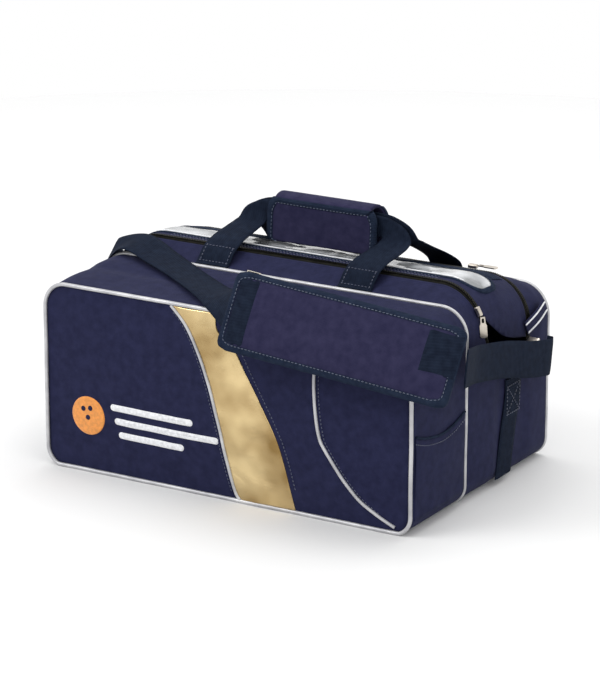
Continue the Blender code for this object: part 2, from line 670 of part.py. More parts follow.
def make_pad():
    """Shoulder pad that leans on the front top edge, its right end past the case's corner."""
    frame = bpy.data.objects.new("pad_frame", None)
    frame.location = PAD_CENTRE
    frame.rotation_euler = PAD_ROTATION
    PARTS.objects.link(frame)
    length, width = PAD_LENGTH / 2, PAD_WIDTH / 2
    pad = box("strap_pad", (-length, -width, -PAD_THICKNESS / 2), (length, width, PAD_THICKNESS / 2))
    bevel(pad, 0.004, 2)
    pad.parent = frame
    finish(pad, NAVY)
    left, right = -length + 0.008, -length + 0.025
    bottom, top = -0.006, width + 0.0025
    wire = [(left, bottom), (right, bottom), (right, top), (left, top)]
    buckle = cord_curve("slide_buckle", [(x, y, -0.0080) for x, y in wire], 0.0015, cyclic=True)
    buckle.parent = frame
    finish(buckle, METAL, 0.3, 1.0)


make_case()
make_pipings()
make_front_trim()
make_inside()
make_lid()
make_zippers()
make_handles()
make_strap()
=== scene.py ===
"""Looks of the two-ball bowling tote: sewn fabric, webbing, piping, zippers, window and metal fittings."""
import math

import bmesh
import bpy
from mathutils import Euler, Matrix, Vector, noise


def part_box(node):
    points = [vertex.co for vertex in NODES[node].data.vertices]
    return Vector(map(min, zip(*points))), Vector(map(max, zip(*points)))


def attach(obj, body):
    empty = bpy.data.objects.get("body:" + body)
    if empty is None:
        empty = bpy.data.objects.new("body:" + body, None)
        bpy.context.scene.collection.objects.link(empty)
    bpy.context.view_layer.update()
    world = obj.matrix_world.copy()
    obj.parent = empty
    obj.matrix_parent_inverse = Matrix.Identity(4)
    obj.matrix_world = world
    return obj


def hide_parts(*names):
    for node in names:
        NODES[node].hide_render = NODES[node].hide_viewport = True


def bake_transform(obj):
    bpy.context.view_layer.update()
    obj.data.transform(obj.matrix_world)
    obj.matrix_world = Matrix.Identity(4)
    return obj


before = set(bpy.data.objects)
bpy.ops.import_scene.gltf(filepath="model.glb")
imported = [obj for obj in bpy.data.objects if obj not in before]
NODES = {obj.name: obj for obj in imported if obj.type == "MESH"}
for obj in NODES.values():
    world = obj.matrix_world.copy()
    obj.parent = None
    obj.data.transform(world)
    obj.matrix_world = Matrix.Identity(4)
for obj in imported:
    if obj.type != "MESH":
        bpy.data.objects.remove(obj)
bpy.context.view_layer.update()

# ---------------------------------------------------------------- sizes, from the frame
FRONT_LOW, FRONT_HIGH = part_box("front_panel")
REAR_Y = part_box("rear_panel")[1][1]
GUSSET_LOW, GUSSET_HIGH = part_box("front_gusset")
MAIN_LOW, MAIN_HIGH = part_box("main_gusset")
HALF_LENGTH = FRONT_HIGH[0]
FRONT_Y = FRONT_LOW[1]
SEAM_Y = (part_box("seam_piping")[0][1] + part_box("seam_piping")[1][1]) / 2
POCKET_ZIP_Y = (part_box("pocket_zip_tape")[0][1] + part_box("pocket_zip_tape")[1][1]) / 2
HINGE_Y, HINGE_Z = 0.1185, 0.2590
ZIP_R = 0.1197
BASE_CORNER = 0.026
LID_CORNER = 0.060
CLOTH = 0.0016
# Height and corner radius of the front and rear faces, then of the cross-sections at their depths.
FRONT_FACE = (0.250, 0.034)
REAR_FACE = (0.2345, 0.042)
FRONT_SECTIONS = ((GUSSET_LOW[1], *FRONT_FACE), (-0.112, 0.2525, 0.035), (GUSSET_HIGH[1], 0.256, 0.036))
MAIN_SECTIONS = ((MAIN_LOW[1], 0.257, 0.037), (-0.018, 0.268, 0.055), (0.000, 0.276, LID_CORNER),
                 (0.055, 0.2745, LID_CORNER), (HINGE_Y, HINGE_Z, LID_CORNER), (MAIN_HIGH[1], *REAR_FACE))
CORNER_STEPS, TOP_STEPS, SIDE_STEPS, FACE_RINGS = 12, 60, 22, 26
WINDOW_LOW, WINDOW_HIGH, WINDOW_CORNER = (-0.252, 0.020), (0.252, 0.076), 0.020
PIPING_R, TRIM_PIPING_R = 0.0026, 0.0022
STITCH_LENGTH, STITCH_GAP, STITCH_R = 0.0032, 0.0018, 0.00042
TOOTH_PITCH = 0.0026
TAPE_LIFT, TAPE_THICKNESS = 0.0004, 0.0012
WEB, WEB_STEPS, WEB_LANES = 0.0022, 10, 8
STRAP_HALF = 0.0245
TURN_X, GRIP_HALF, LEG_HALF = 0.1095, 0.0140, STRAP_HALF
PULL_TURN = math.radians(45)
PAD_LENGTH, PAD_WIDTH = 0.310, 0.100
PAD_MATRIX = Matrix.Translation((0.1815, -0.2015, 0.2480)) @ Euler(
    (math.radians(64.2), math.radians(6.5), math.radians(4.5))).to_matrix().to_4x4()
WRAP_X, WRAP_HALF, WRAP_BOTTOM, WRAP_TOP, WRAP_SPLIT = 0.0100, 0.0810, 0.2810, 0.3435, 0.0600


# ---------------------------------------------------------------- materials

WEAVE_SCALE = 260.0


def new_material(name, color, roughness, metallic=0.0):
    """Material with its shader and node tree at hand."""
    material = bpy.data.materials.new(name)
    material.use_nodes = True
    tree = material.node_tree
    shader = tree.nodes["Principled BSDF"]
    shader.inputs["Base Color"].default_value = (*color, 1.0)
    shader.inputs["Roughness"].default_value = roughness
    shader.inputs["Metallic"].default_value = metallic
    return material, tree, shader


def node(tree, kind, **values):
    """Shader node with its inputs or properties set."""
    made = tree.nodes.new(kind)
    for key, value in values.items():
        if key in made.inputs:
            made.inputs[key].default_value = value
        else:
            setattr(made, key, value)
    return made


def object_position(tree):
    """Position on the object, in metres."""
    return node(tree, "ShaderNodeTexCoord").outputs["Object"]


def soft_noise(tree, source, scale, detail, distortion=0.0):
    """Value of soft noise on the object."""
    made = node(tree, "ShaderNodeTexNoise", Scale=scale, Detail=detail, Distortion=distortion)
    tree.links.new(source, made.inputs["Vector"])
    return made.outputs["Fac"]


def vary_color(tree, shader, source, low, high, scale, detail=4.0):
    """Blend two colours by soft noise."""
    spots = soft_noise(tree, source, scale, detail)
    ramp = node(tree, "ShaderNodeValToRGB")
    ramp.color_ramp.elements[0].position = 0.3
    ramp.color_ramp.elements[1].position = 0.7
    ramp.color_ramp.elements[0].color = (*low, 1)
    ramp.color_ramp.elements[1].color = (*high, 1)
    tree.links.new(spots, ramp.inputs["Fac"])
    tree.links.new(ramp.outputs["Color"], shader.inputs["Base Color"])
    return ramp


def bump(tree, shader, height, strength, distance, under=None):
    """Bump from a height, on top of another bump if there is one."""
    made = node(tree, "ShaderNodeBump", Strength=strength, Distance=distance)
    tree.links.new(height, made.inputs["Height"])
    if under:
        tree.links.new(under.outputs["Normal"], made.inputs["Normal"])
    tree.links.new(made.outputs["Normal"], shader.inputs["Normal"])
    return made


def waves(tree, source, scale, direction):
    """Straight bands across one direction of the object."""
    made = node(tree, "ShaderNodeTexWave", Scale=scale, Distortion=0.3, Detail=1.0)
    made.bands_direction = direction
    tree.links.new(source, made.inputs["Vector"])
    return made.outputs["Fac"]


def math_node(tree, operation, a, b):
    """Arithmetic on two values."""
    made = node(tree, "ShaderNodeMath", operation=operation)
    for socket, value in zip(made.inputs, (a, b)):
        if isinstance(value, (int, float)):
            socket.default_value = value
        else:
            tree.links.new(value, socket)
    return made.outputs["Value"]


def woven(name, low, high, roughness=0.82, sheen=0.04):
    """Plain woven polyester: crossed threads, slubs and slow colour variation."""
    material, tree, shader = new_material(name, low, roughness)
    source = object_position(tree)
    vary_color(tree, shader, source, low, high, 90.0, 8.0)
    along, across, depth = (waves(tree, source, WEAVE_SCALE, axis) for axis in "XZY")
    crossed = math_node(tree, "MULTIPLY", along, across)
    threads = math_node(tree, "ADD", crossed, math_node(tree, "MULTIPLY", depth, 0.5))
    first = bump(tree, shader, threads, 0.35, 0.0004)
    slubs = soft_noise(tree, source, 420.0, 3.0)
    second = bump(tree, shader, slubs, 0.35, 0.0005, first)
    bump(tree, shader, soft_noise(tree, source, 16.0, 2.0), 0.35, 0.006, second)
    shader.inputs["Sheen Weight"].default_value = sheen
    shader.inputs["Sheen Roughness"].default_value = 0.3
    shader.inputs["Sheen Tint"].default_value = (0.55, 0.58, 0.85, 1.0)
    shader.inputs["Specular IOR Level"].default_value = 0.14
    return material


def ribbed(name, low, high, direction, scale=95.0):
    """Webbing: ribs across one direction and fine noise."""
    material, tree, shader = new_material(name, low, 0.8)
    source = object_position(tree)
    vary_color(tree, shader, source, low, high, 120.0, 6.0)
    ribs = bump(tree, shader, waves(tree, source, scale, direction), 0.5, 0.0006)
    bump(tree, shader, soft_noise(tree, source, 600.0, 2.0), 0.3, 0.0004, ribs)
    shader.inputs["Specular IOR Level"].default_value = 0.05
    return material


def gold_vinyl():
    """Metallic coated vinyl with creases and a fine grain, with painted reflection and crease shade in its
    colour.
    """
    material, tree, shader = new_material("gold_vinyl", (0.50, 0.36, 0.14), 0.27, 0.9)
    source = object_position(tree)
    # Painted light: broad noise blends dark and bright gold into the base colour, standing in for reflections
    # and the shade in creases.
    vary_color(tree, shader, source, (0.27, 0.17, 0.06), (0.74, 0.57, 0.30), 16.0, 2.0)
    creases = bump(tree, shader, soft_noise(tree, source, 38.0, 5.0, 0.8), 0.45, 0.0035)
    bump(tree, shader, soft_noise(tree, source, 500.0, 2.0), 0.2, 0.0003, creases)
    return material


def silver_vinyl():
    """Silver-white piping skin."""
    material, tree, shader = new_material("silver_vinyl", (0.46, 0.46, 0.47), 0.34, 0.35)
    source = object_position(tree)
    vary_color(tree, shader, source, (0.36, 0.36, 0.38), (0.56, 0.56, 0.57), 40.0)
    bump(tree, shader, soft_noise(tree, source, 350.0, 2.0), 0.3, 0.0006)
    return material


def clear_vinyl():
    """Soft clear window vinyl: partly see-through, with a glossy face and painted reflection patches in its
    colour.
    """
    material, tree, shader = new_material("clear_vinyl", (0.62, 0.64, 0.67), 0.12)
    source = object_position(tree)
    # Painted reflection: soft noise blends dark grey and near-white patches into the base colour, standing in
    # for glare on the vinyl.
    ramp = vary_color(tree, shader, source, (0.20, 0.21, 0.22), (0.74, 0.76, 0.79), 20.0, 2.0)
    ramp.color_ramp.elements[0].position = 0.40
    ramp.color_ramp.elements[1].position = 0.62
    bump(tree, shader, soft_noise(tree, source, 30.0, 4.0, 1.2), 0.5, 0.006)
    shader.inputs["Alpha"].default_value = 0.82
    shader.inputs["Coat Weight"].default_value = 1.0
    shader.inputs["Coat Roughness"].default_value = 0.05
    return material


def satin_stitch(name, color, direction):
    """Dense embroidery thread."""
    material, tree, shader = new_material(name, color, 0.45)
    source = object_position(tree)
    vary_color(tree, shader, source, tuple(0.72 * c for c in color), color, 240.0)
    bump(tree, shader, waves(tree, source, 210.0, direction), 0.6, 0.0006)
    shader.inputs["Sheen Weight"].default_value = 0.3
    return material


def zinc(name, color, roughness=0.28):
    """Plated die-cast metal with small scuffs."""
    material, tree, shader = new_material(name, color, roughness, 1.0)
    source = object_position(tree)
    vary_color(tree, shader, source, tuple(0.75 * c for c in color), color, 150.0)
    bump(tree, shader, soft_noise(tree, source, 280.0, 3.0), 0.15, 0.0004)
    return material


def foam(name, color):
    """Cloth-faced foam or board with a fine grain."""
    material, tree, shader = new_material(name, color, 0.85)
    source = object_position(tree)
    vary_color(tree, shader, source, color, tuple(1.6 * c for c in color), 80.0)
    bump(tree, shader, soft_noise(tree, source, 450.0, 3.0), 0.5, 0.0006)
    return material


NAVY = woven("navy_weave", (0.0085, 0.0100, 0.0350), (0.0145, 0.0165, 0.0510))
PAD_NAVY = woven("pad_weave", (0.0130, 0.0125, 0.0400), (0.0230, 0.0215, 0.0570), 0.85, 0.05)
WEB_X, WEB_Y, WEB_Z = (
    ribbed("webbing_ribs_" + axis.lower(), (0.0058, 0.0090, 0.0190), (0.0105, 0.0160, 0.0310), axis)
    for axis in "XYZ")
BINDING = ribbed("binding_ribs", (0.0080, 0.0130, 0.0280), (0.0150, 0.0230, 0.0440), "Z", 140.0)
THREAD = satin_stitch("navy_thread", (0.040, 0.052, 0.110), "X")
TAPE = ribbed("zip_tape_weave", (0.0060, 0.0060, 0.0050), (0.0150, 0.0145, 0.0110), "X", 160.0)
TEETH = zinc("zip_teeth_black", (0.030, 0.029, 0.022), 0.45)
METAL = zinc("nickel_plate", (0.68, 0.62, 0.54))
SILVER = silver_vinyl()
GOLD = gold_vinyl()
VINYL = clear_vinyl()
WHITE_THREAD = satin_stitch("white_thread", (0.86, 0.87, 0.90), "Z")
ORANGE_THREAD = satin_stitch("orange_thread", (0.85, 0.30, 0.035), "X")
FOAM = foam("cup_foam", (0.020, 0.020, 0.023))
BOARD = foam("base_board_skin", (0.012, 0.012, 0.014))


# ---------------------------------------------------------------- mesh helpers

def add(name, verts, faces, material, smooth=True):
    """Mesh object from points and faces."""
    mesh = bpy.data.meshes.new(name)
    mesh.from_pydata([tuple(v) for v in verts], [], faces)
    mesh.materials.append(material)
    if smooth:
        mesh.shade_smooth()
    return link(bpy.data.objects.new(name, mesh))


def link(obj):
    """Put an object in the scene."""
    bpy.context.scene.collection.objects.link(obj)
    return obj


def grid(name, rows, material, closed=False, capped=False):
    """Surface through rows of points; a capped one has a face across its last row."""
    count = len(rows[0])
    faces = []
    for r in range(len(rows) - 1):
        for i in range(count if closed else count - 1):
            j = (i + 1) % count
            faces.append((r * count + i, r * count + j, (r + 1) * count + j, (r + 1) * count + i))
    if capped:
        faces.append(tuple((len(rows) - 1) * count + i for i in range(count)))
    return add(name, [p for row in rows for p in row], faces, material)


def edit(obj, *steps):
    """Run mesh steps on an object, then turn its faces outward."""
    bm = bmesh.new()
    bm.from_mesh(obj.data)
    for step in steps:
        step(bm)
    bmesh.ops.recalc_face_normals(bm, faces=bm.faces)
    bm.to_mesh(obj.data)
    bm.free()


def paint(name, material):
    """Give a CAD node that shows as it is a material."""
    NODES[name].data.materials.clear()
    NODES[name].data.materials.append(material)


def unit(value):
    """Value held between 0 and 1."""
    return min(max(value, 0.0), 1.0)


def thicken(obj, thickness, offset=-1.0):
    """Solidify a surface."""
    modifier = obj.modifiers.new("thickness", "SOLIDIFY")
    modifier.thickness = thickness
    modifier.offset = offset
    return obj


def apply_modifiers(obj):
    """Replace an object's mesh by its evaluated one."""
    graph = bpy.context.evaluated_depsgraph_get()
    mesh = bpy.data.meshes.new_from_object(obj.evaluated_get(graph))
    obj.modifiers.clear()
    obj.data = mesh


def cut(obj, profile, low, high, axis, operation="DIFFERENCE"):
    """Cut an object with a prism of a flat profile, and apply the cut."""
    order = {"X": lambda p, t: (t, p[0], p[1]), "Z": lambda p, t: (p[0], p[1], t)}[axis]
    count = len(profile)
    verts = [order(p, t) for t in (low, high) for p in profile]
    faces = [tuple(range(count)), tuple(range(2 * count - 1, count - 1, -1))]
    faces += [(i, i + count, (i + 1) % count + count, (i + 1) % count) for i in range(count)]
    tool = add("cut_tool", verts, faces, NAVY, smooth=False)
    edit(tool)
    modifier = obj.modifiers.new("cut", "BOOLEAN")
    modifier.operation = operation
    modifier.object = tool
    apply_modifiers(obj)
    bpy.data.objects.remove(tool, do_unlink=True)


def spline(points, steps=6):
    """Catmull-Rom curve through points of any dimension."""
    padded = [points[0], *points, points[-1]]
    result = []
    for a, b, c, d in zip(padded, padded[1:], padded[2:], padded[3:]):
        for step in range(steps):
            t = step / steps
            result.append(tuple(
                0.5 * (2 * q + (r - p) * t + (2 * p - 5 * q + 4 * r - s) * t * t
                       + (3 * q - p - 3 * r + s) * t ** 3)
                for p, q, r, s in zip(a, b, c, d)))
    result.append(tuple(points[-1]))
    return result


def arc(centre, radius, start, end, steps):
    """Points on a flat arc, angles in degrees."""
    angles = [math.radians(start + (end - start) * i / steps) for i in range(steps + 1)]
    return [(centre[0] + radius * math.cos(a), centre[1] + radius * math.sin(a)) for a in angles]


def rod(name, points, radius, material, cyclic=False, sides=10):
    """Round cord as a mesh tube."""
    points = [Vector(p) for p in points]
    count = len(points)
    rows = []
    side = None
    for i, point in enumerate(points):
        before = points[(i - 1) % count] if cyclic or i else point
        after = points[(i + 1) % count] if cyclic or i < count - 1 else point
        tangent = (after - before).normalized()
        if side is None:
            side = tangent.orthogonal()
        side = (side - tangent * side.dot(tangent)).normalized()
        other = tangent.cross(side)
        ring = []
        for k in range(sides):
            angle = 2 * math.pi * k / sides
            ring.append(point + (side * math.cos(angle) + other * math.sin(angle)) * radius)
        rows.append(ring)
    verts = [p for row in rows for p in row]
    faces = []
    for r in range(count if cyclic else count - 1):
        s = (r + 1) % count
        for k in range(sides):
            j = (k + 1) % sides
            faces.append((r * sides + k, s * sides + k, s * sides + j, r * sides + j))
    if not cyclic:
        faces.append(tuple(range(sides)))
        faces.append(tuple(range(count * sides - 1, (count - 1) * sides - 1, -1)))
    return add(name, verts, faces, material)


def resample(points, spacing, cyclic=False):
    """Points at even spacing along a line, with the direction of travel at each."""
    points = [Vector(p) for p in points]
    if cyclic:
        points.append(points[0])
    result = []
    carry = 0.0
    for a, b in zip(points, points[1:]):
        span = (b - a).length
        if span == 0:
            continue
        t = carry
        while t < span:
            result.append((a.lerp(b, t / span), (b - a) / span))
            t += spacing
        carry = t - span
    return result


def stitches(name, lines, up, material=None):
    """Rows of sewn stitches along lines; up(point) is the direction that faces away from the cloth."""
    verts, faces = [], []
    for line in lines:
        for point, along in resample(line, STITCH_LENGTH + STITCH_GAP):
            lift = Vector(up(point)).normalized()
            across = along.cross(lift).normalized()
            base = len(verts)
            for f, s in ((-0.5, 0.35), (-0.25, 1.0), (0.25, 1.0), (0.5, 0.35)):
                centre = point + along * (STITCH_LENGTH * f)
                for a, rise in ((-1, 0.0), (-0.6, 1.0), (0.6, 1.0), (1, 0.0)):
                    verts.append(centre + across * (STITCH_R * 1.5 * a * s)
                                 + lift * (STITCH_R * (1.6 * rise * s - 0.4)))
            for near in (base, base + 4, base + 8):
                far = near + 4
                for i in range(4):
                    j = (i + 1) % 4
                    faces.append((near + i, near + j, far + j, far + i))
            faces.append((base + 3, base + 2, base + 1, base))
            faces.append((base + 12, base + 13, base + 14, base + 15))
    return add(name, verts, faces, material or THREAD)


def wrinkle(point, scale, seed=0.0):
    """Smooth noise, -1 to 1, of a position in metres."""
    return noise.noise(Vector(point) * scale + Vector((seed, seed * 0.7, -seed)))


# ---------------------------------------------------------------- case

def section_at(sections, y):
    """Height and corner radius of the case at a depth."""
    for (y0, h0, r0), (y1, h1, r1) in zip(sections, sections[1:]):
        if y <= y1:
            part = (y - y0) / (y1 - y0)
            return h0 + (h1 - h0) * part, r0 + (r1 - r0) * part
    return sections[-1][1], sections[-1][2]


def section_ring(height, radius):
    """(x, z, outward x, outward z) round a cross-section, with the same number of points at any depth."""
    ring = []
    corners = ((1, BASE_CORNER, BASE_CORNER, -90), (1, height - radius, radius, 0),
               (-1, height - radius, radius, 90), (-1, BASE_CORNER, BASE_CORNER, 180))
    arcs = []
    for side, centre_z, r, start in corners:
        centre_x = side * (HALF_LENGTH - r)
        points = []
        for step in range(CORNER_STEPS + 1):
            angle = math.radians(start + 90.0 * step / CORNER_STEPS)
            c, s = math.cos(angle), math.sin(angle)
            points.append((centre_x + r * c, centre_z + r * s, c, s))
        arcs.append(points)
    between = (SIDE_STEPS, TOP_STEPS, SIDE_STEPS, TOP_STEPS)
    for k in range(4):
        ring += arcs[k]
        last, following = arcs[k][-1], arcs[(k + 1) % 4][0]
        for step in range(1, between[k]):
            t = step / between[k]
            ring.append(tuple(a + (b - a) * t for a, b in zip(last, following)))
    return ring


def case_surface(name, sections, y0, y1, rows, swell, calm):
    """Sewn tube of the case between two depths, swelling between its seams and lightly wrinkled."""
    lines = []
    for r in range(rows + 1):
        y = y0 + (y1 - y0) * r / rows
        height, radius = section_at(sections, y)
        seam_fade = math.sin(math.pi * unit((y - y0) / (y1 - y0))) ** 0.6
        line = []
        for x, z, nx, nz in section_ring(height, radius):
            quiet = calm(x, y, z)
            floor_fade = unit(z / 0.03)
            push = swell * seam_fade * quiet * floor_fade
            push += 0.0020 * seam_fade * quiet * floor_fade * wrinkle((x, y, z), 21.0)
            push += 0.0005 * seam_fade * quiet * floor_fade * wrinkle((x, y * 0.4, z), 70.0, 3.0)
            line.append((x + nx * push, y, z + nz * push))
        lines.append(line)
    return thicken(grid(name, lines, NAVY, closed=True), CLOTH, 1.0)


def bulge(x, z):
    """How far the front face stands forward of its seam plane."""
    u = min(abs(x) / HALF_LENGTH, 1.0)
    v = min(abs(z - 0.125) / 0.125, 1.0)
    crown = 0.0060 * (1 - u ** 4) * (1 - v ** 3)
    folds = 0.0022 * wrinkle((x + 0.5 * z, 0.0, z - 0.4 * x), 13.0, 5.0)
    folds += 0.0007 * wrinkle((x, 0.0, z), 40.0, 1.0)
    return crown + folds * (1 - u ** 6) * (1 - v ** 4)


def front_point(x, z, out=0.0):
    """Point on the front face, standing out from the cloth."""
    return (x, FRONT_Y - bulge(x, z) - out, z)


def face_sheet(name, height, radius, place, offset):
    """Upright face panel as rings that shrink to its middle; place(x, z) is a point on the face."""
    rows = []
    for r in range(FACE_RINGS + 1):
        t = 1 - r / FACE_RINGS
        rows.append([place(x * t, height / 2 + (z - height / 2) * t)
                     for x, z, _, _ in section_ring(height, radius)])
    return thicken(grid(name, rows, NAVY, closed=True), CLOTH, offset)


def zip_profile(radius, low_z, rear_y):
    """(y, z) profile inside an arc about the lid's hinge and above a level."""
    low_angle = math.degrees(math.asin((HINGE_Z - low_z) / radius))
    points = arc((HINGE_Y, HINGE_Z), radius, 150, 180 + low_angle, 28)
    return points + [(rear_y, low_z), (rear_y, HINGE_Z + radius * 0.5)]


def ride(obj, body, slot, *nodes):
    """Put a piece on a body and hide the CAD nodes that it stands for; the finish slot is not used."""
    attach(obj, body)
    if nodes:
        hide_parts(*nodes)


def near_lid(x, y, z):
    """0 beside the lid, its zippers and the end webbing, 1 on the rest of the main gusset."""
    distance = math.hypot(y - HINGE_Y, z - HINGE_Z) - ZIP_R
    front = unit((distance - 0.006) / 0.03)
    behind = unit((y - HINGE_Y - 0.013) / 0.03)
    below = unit((0.165 - z) / 0.04)
    beside_webbing = unit((abs(y - 0.078) - 0.030) / 0.02) if abs(x) > HALF_LENGTH - 0.03 else 1.0
    return max(front if y < HINGE_Y else behind, below) * beside_webbing


def make_case():
    """Panels and gussets of the case."""
    front = face_sheet("front_panel_cloth", *FRONT_FACE, front_point, -1.0)
    ride(front, "root", "navy_fabric", "front_panel")

    def rear_point(x, z):
        side_fade = 1 - min(abs(x) / HALF_LENGTH, 1.0) ** 4
        crown = 0.007 * side_fade * (1 - min(abs(z - 0.117) / 0.117, 1.0) ** 3)
        return (x, REAR_Y + crown + 0.0010 * wrinkle((x, 1.0, z), 15.0) * side_fade, z)

    rear = face_sheet("rear_panel_cloth", *REAR_FACE, rear_point, 1.0)
    ride(rear, "root", "navy_fabric", "rear_panel")

    def near_pocket_zip(x, y, z):
        return min(abs(y - POCKET_ZIP_Y) / 0.02, 1.0) if z > 0.2 else 1.0

    pocket = case_surface("shoe_gusset_cloth", FRONT_SECTIONS, FRONT_Y + 0.0006, SEAM_Y - 0.0004, 26, 0.0022,
                          near_pocket_zip)
    low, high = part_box("pocket_zip_tape")
    slot = [(low[0], low[1]), (high[0], low[1]), (high[0], high[1]), (low[0], high[1])]
    cut(pocket, slot, 0.2, 0.3, "Z")
    ride(pocket, "root", "navy_fabric", "front_gusset")

    main = case_surface("main_gusset_cloth", MAIN_SECTIONS, SEAM_Y + 0.0004, REAR_Y - 0.0006, 44, 0.0024,
                        near_lid)
    cut(main, zip_profile(ZIP_R + 0.0050, 0.170, HINGE_Y + 0.0108), -0.4, 0.4, "X")
    ride(main, "root", "navy_fabric", "main_gusset")


def ring_line(y, height, radius, inset):
    """Line of a piping ring, very slightly uneven, no lower than the base."""
    points = []
    for x, z, nx, nz in section_ring(height, radius):
        uneven = 0.0009 * wrinkle((x, y, z), 22.0, 9.0)
        points.append((x - nx * inset, y + uneven, max(z - nz * inset, PIPING_R)))
    return points


def make_pipings():
    """Piping rings in the three seams."""
    rings = (("front_piping", FRONT_Y - 0.0014, *FRONT_FACE, 0.0010),
             ("seam_piping", SEAM_Y, 0.2575, 0.0365, 0.0004),
             ("rear_piping", REAR_Y + 0.0014, *REAR_FACE, 0.0010))
    for name, y, height, radius, inset in rings:
        line = ring_line(y, height, radius, inset)
        ride(rod(name + "_cord", line, PIPING_R, SILVER, cyclic=True), "root", "piping", name)


GOLD_LEFT = spline([(-0.0765, 0.2460), (-0.055, 0.226), (-0.035, 0.195), (-0.017, 0.153), (-0.004, 0.106),
                    (0.006, 0.061), (0.018, 0.016), (0.0245, 0.0045)], 7)
GOLD_RIGHT = spline([(-0.010, 0.2460), (-0.006, 0.224), (0.016, 0.209), (0.042, 0.166), (0.070, 0.120),
                     (0.086, 0.087), (0.098, 0.044), (0.107, 0.0045)], 7)
ARC_LINE = spline([(0.139, 0.2420), (0.136, 0.205), (0.1365, 0.168), (0.143, 0.115), (0.154, 0.092),
                   (0.175, 0.063), (0.201, 0.036), (0.227, 0.020), (0.2495, 0.0095)], 7)


def make_front_trim():
    """Gold panel and both trim pipings, laid on the front face."""
    rows = []
    for (x0, z0), (x1, z1) in zip(GOLD_LEFT, GOLD_RIGHT):
        row = []
        for i in range(31):
            t = i / 30
            x, z = x0 + (x1 - x0) * t, z0 + (z1 - z0) * t
            fade = math.sin(math.pi * t) ** 0.5
            crease = 0.0022 * wrinkle((x * 0.9, 0.0, z * 1.1), 24.0, 2.0)
            crease += 0.0010 * wrinkle((x, 0.0, z), 60.0, 7.0)
            row.append(front_point(x, z, 0.0006 + fade * (0.0016 + crease)))
        rows.append(row)
    gold = thicken(grid("gold_panel_vinyl", rows, GOLD), 0.0009, 1.0)
    ride(gold, "root", "gold_vinyl", "gold_panel")
    seam = [front_point(x, z, 0.0010) for x, z in GOLD_LEFT]
    ride(rod("gold_piping_cord", seam, TRIM_PIPING_R, SILVER), "root", "piping", "gold_piping")
    curve = [front_point(x, z, 0.0008) for x, z in ARC_LINE]
    ride(rod("arc_piping_cord", curve, TRIM_PIPING_R, SILVER), "root", "piping", "arc_piping")
    beside_arc = [front_point(x + 0.006, z, 0.0002) for x, z in ARC_LINE[4:-8]]
    beside_gold = [front_point(x - 0.0065, z, 0.0002) for x, z in GOLD_LEFT[4:-6]]
    right_of_gold = [front_point(x + 0.0075, z, 0.0002) for x, z in GOLD_RIGHT[6:-5]]
    lines = [beside_arc, beside_gold, right_of_gold]
    ride(stitches("front_stitches", lines, lambda p: (0, -1, 0)), "root", "navy_fabric")


def embroidered(name, outline, centre, material, height=0.0011):
    """Raised satin-stitched shape on the front face."""
    rows = []
    for t, out in ((1.0, 0.0), (0.985, height * 0.7), (0.93, height), (0.6, height * 1.1),
                   (0.25, height * 1.1)):
        rows.append([front_point(centre[0] + (x - centre[0]) * t, centre[1] + (z - centre[1]) * t, out)
                     for x, z in outline])
    return grid(name, rows, material, closed=True, capped=True)


def make_emblem():
    """Generic embroidered ball with finger holes, and three stripes."""
    low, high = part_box("emblem_ball")
    centre = ((low[0] + high[0]) / 2, (low[2] + high[2]) / 2)
    ball = embroidered("emblem_ball_thread", arc(centre, 0.026, 0, 352.5, 47), centre, ORANGE_THREAD)
    ride(ball, "root", "embroidery_orange", "emblem_ball")
    for i, (dx, dz) in enumerate(((-0.007, 0.009), (0.004, 0.011), (0.000, -0.002))):
        middle = (centre[0] + dx, centre[1] + dz)
        hole = embroidered("emblem_hole_%d" % i, arc(middle, 0.0036, 0, 345, 23), middle, NAVY, 0.0016)
        ride(hole, "root", "navy_fabric")
    for i in (1, 2, 3):
        name = "emblem_stripe_%d" % i
        low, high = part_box(name)
        middle = (low[2] + high[2]) / 2
        radius = (high[2] - low[2]) / 2
        xs = [high[0] - radius + (low[0] - high[0] + 2 * radius) * k / 20 for k in range(1, 20)]
        outline = arc((high[0] - radius, middle), radius, -90, 90, 10)
        outline += [(x, middle + radius) for x in xs]
        outline += arc((low[0] + radius, middle), radius, 90, 270, 10)
        outline += [(x, middle - radius) for x in reversed(xs)]
        rows = []
        for t, out in ((1.0, 0.0), (0.86, 0.0007), (0.6, 0.0011), (0.2, 0.0012)):
            row = []
            for x, z in outline:
                spine = min(max(x, low[0] + radius), high[0] - radius)
                row.append(front_point(spine + (x - spine) * t, middle + (z - middle) * t, out))
            rows.append(row)
        stripe = grid(name + "_thread", rows, WHITE_THREAD, closed=True, capped=True)
        ride(stripe, "root", "embroidery_white", name)


# ---------------------------------------------------------------- lid, window and zippers

def strip(name, y0, y1, rows, lift, thickness, material):
    """Strip of the main section's whole outline between two depths, lifted off it."""
    lines = []
    for r in range(rows + 1):
        y = y0 + (y1 - y0) * r / rows
        ring = section_ring(*section_at(MAIN_SECTIONS, y))
        lines.append([(x + nx * lift, y, z + nz * lift) for x, z, nx, nz in ring])
    return thicken(grid(name, lines, material, closed=True), thickness, 1.0)


def lid_profile(radius):
    """(y, z) profile of the lid, with the lower front corners of its end flaps rounded away."""
    points = arc((HINGE_Y, HINGE_Z), radius, 150, 190, 16)
    points += spline([points[-1], (0.0100, 0.2310), (0.022, 0.2210), (0.048, 0.203), (0.075, 0.191),
                      (HINGE_Y - 0.0003, 0.181)], 4)[1:]
    return points + [(HINGE_Y - 0.0003, HINGE_Z + radius * 0.5)]


def rounded_rectangle(low, high, radius, steps=8):
    """Outline of a flat rounded rectangle."""
    points = arc((high[0] - radius, low[1] + radius), radius, -90, 0, steps)
    points += arc((high[0] - radius, high[1] - radius), radius, 0, 90, steps)
    points += arc((low[0] + radius, high[1] - radius), radius, 90, 180, steps)
    return points + arc((low[0] + radius, low[1] + radius), radius, 180, 270, steps)


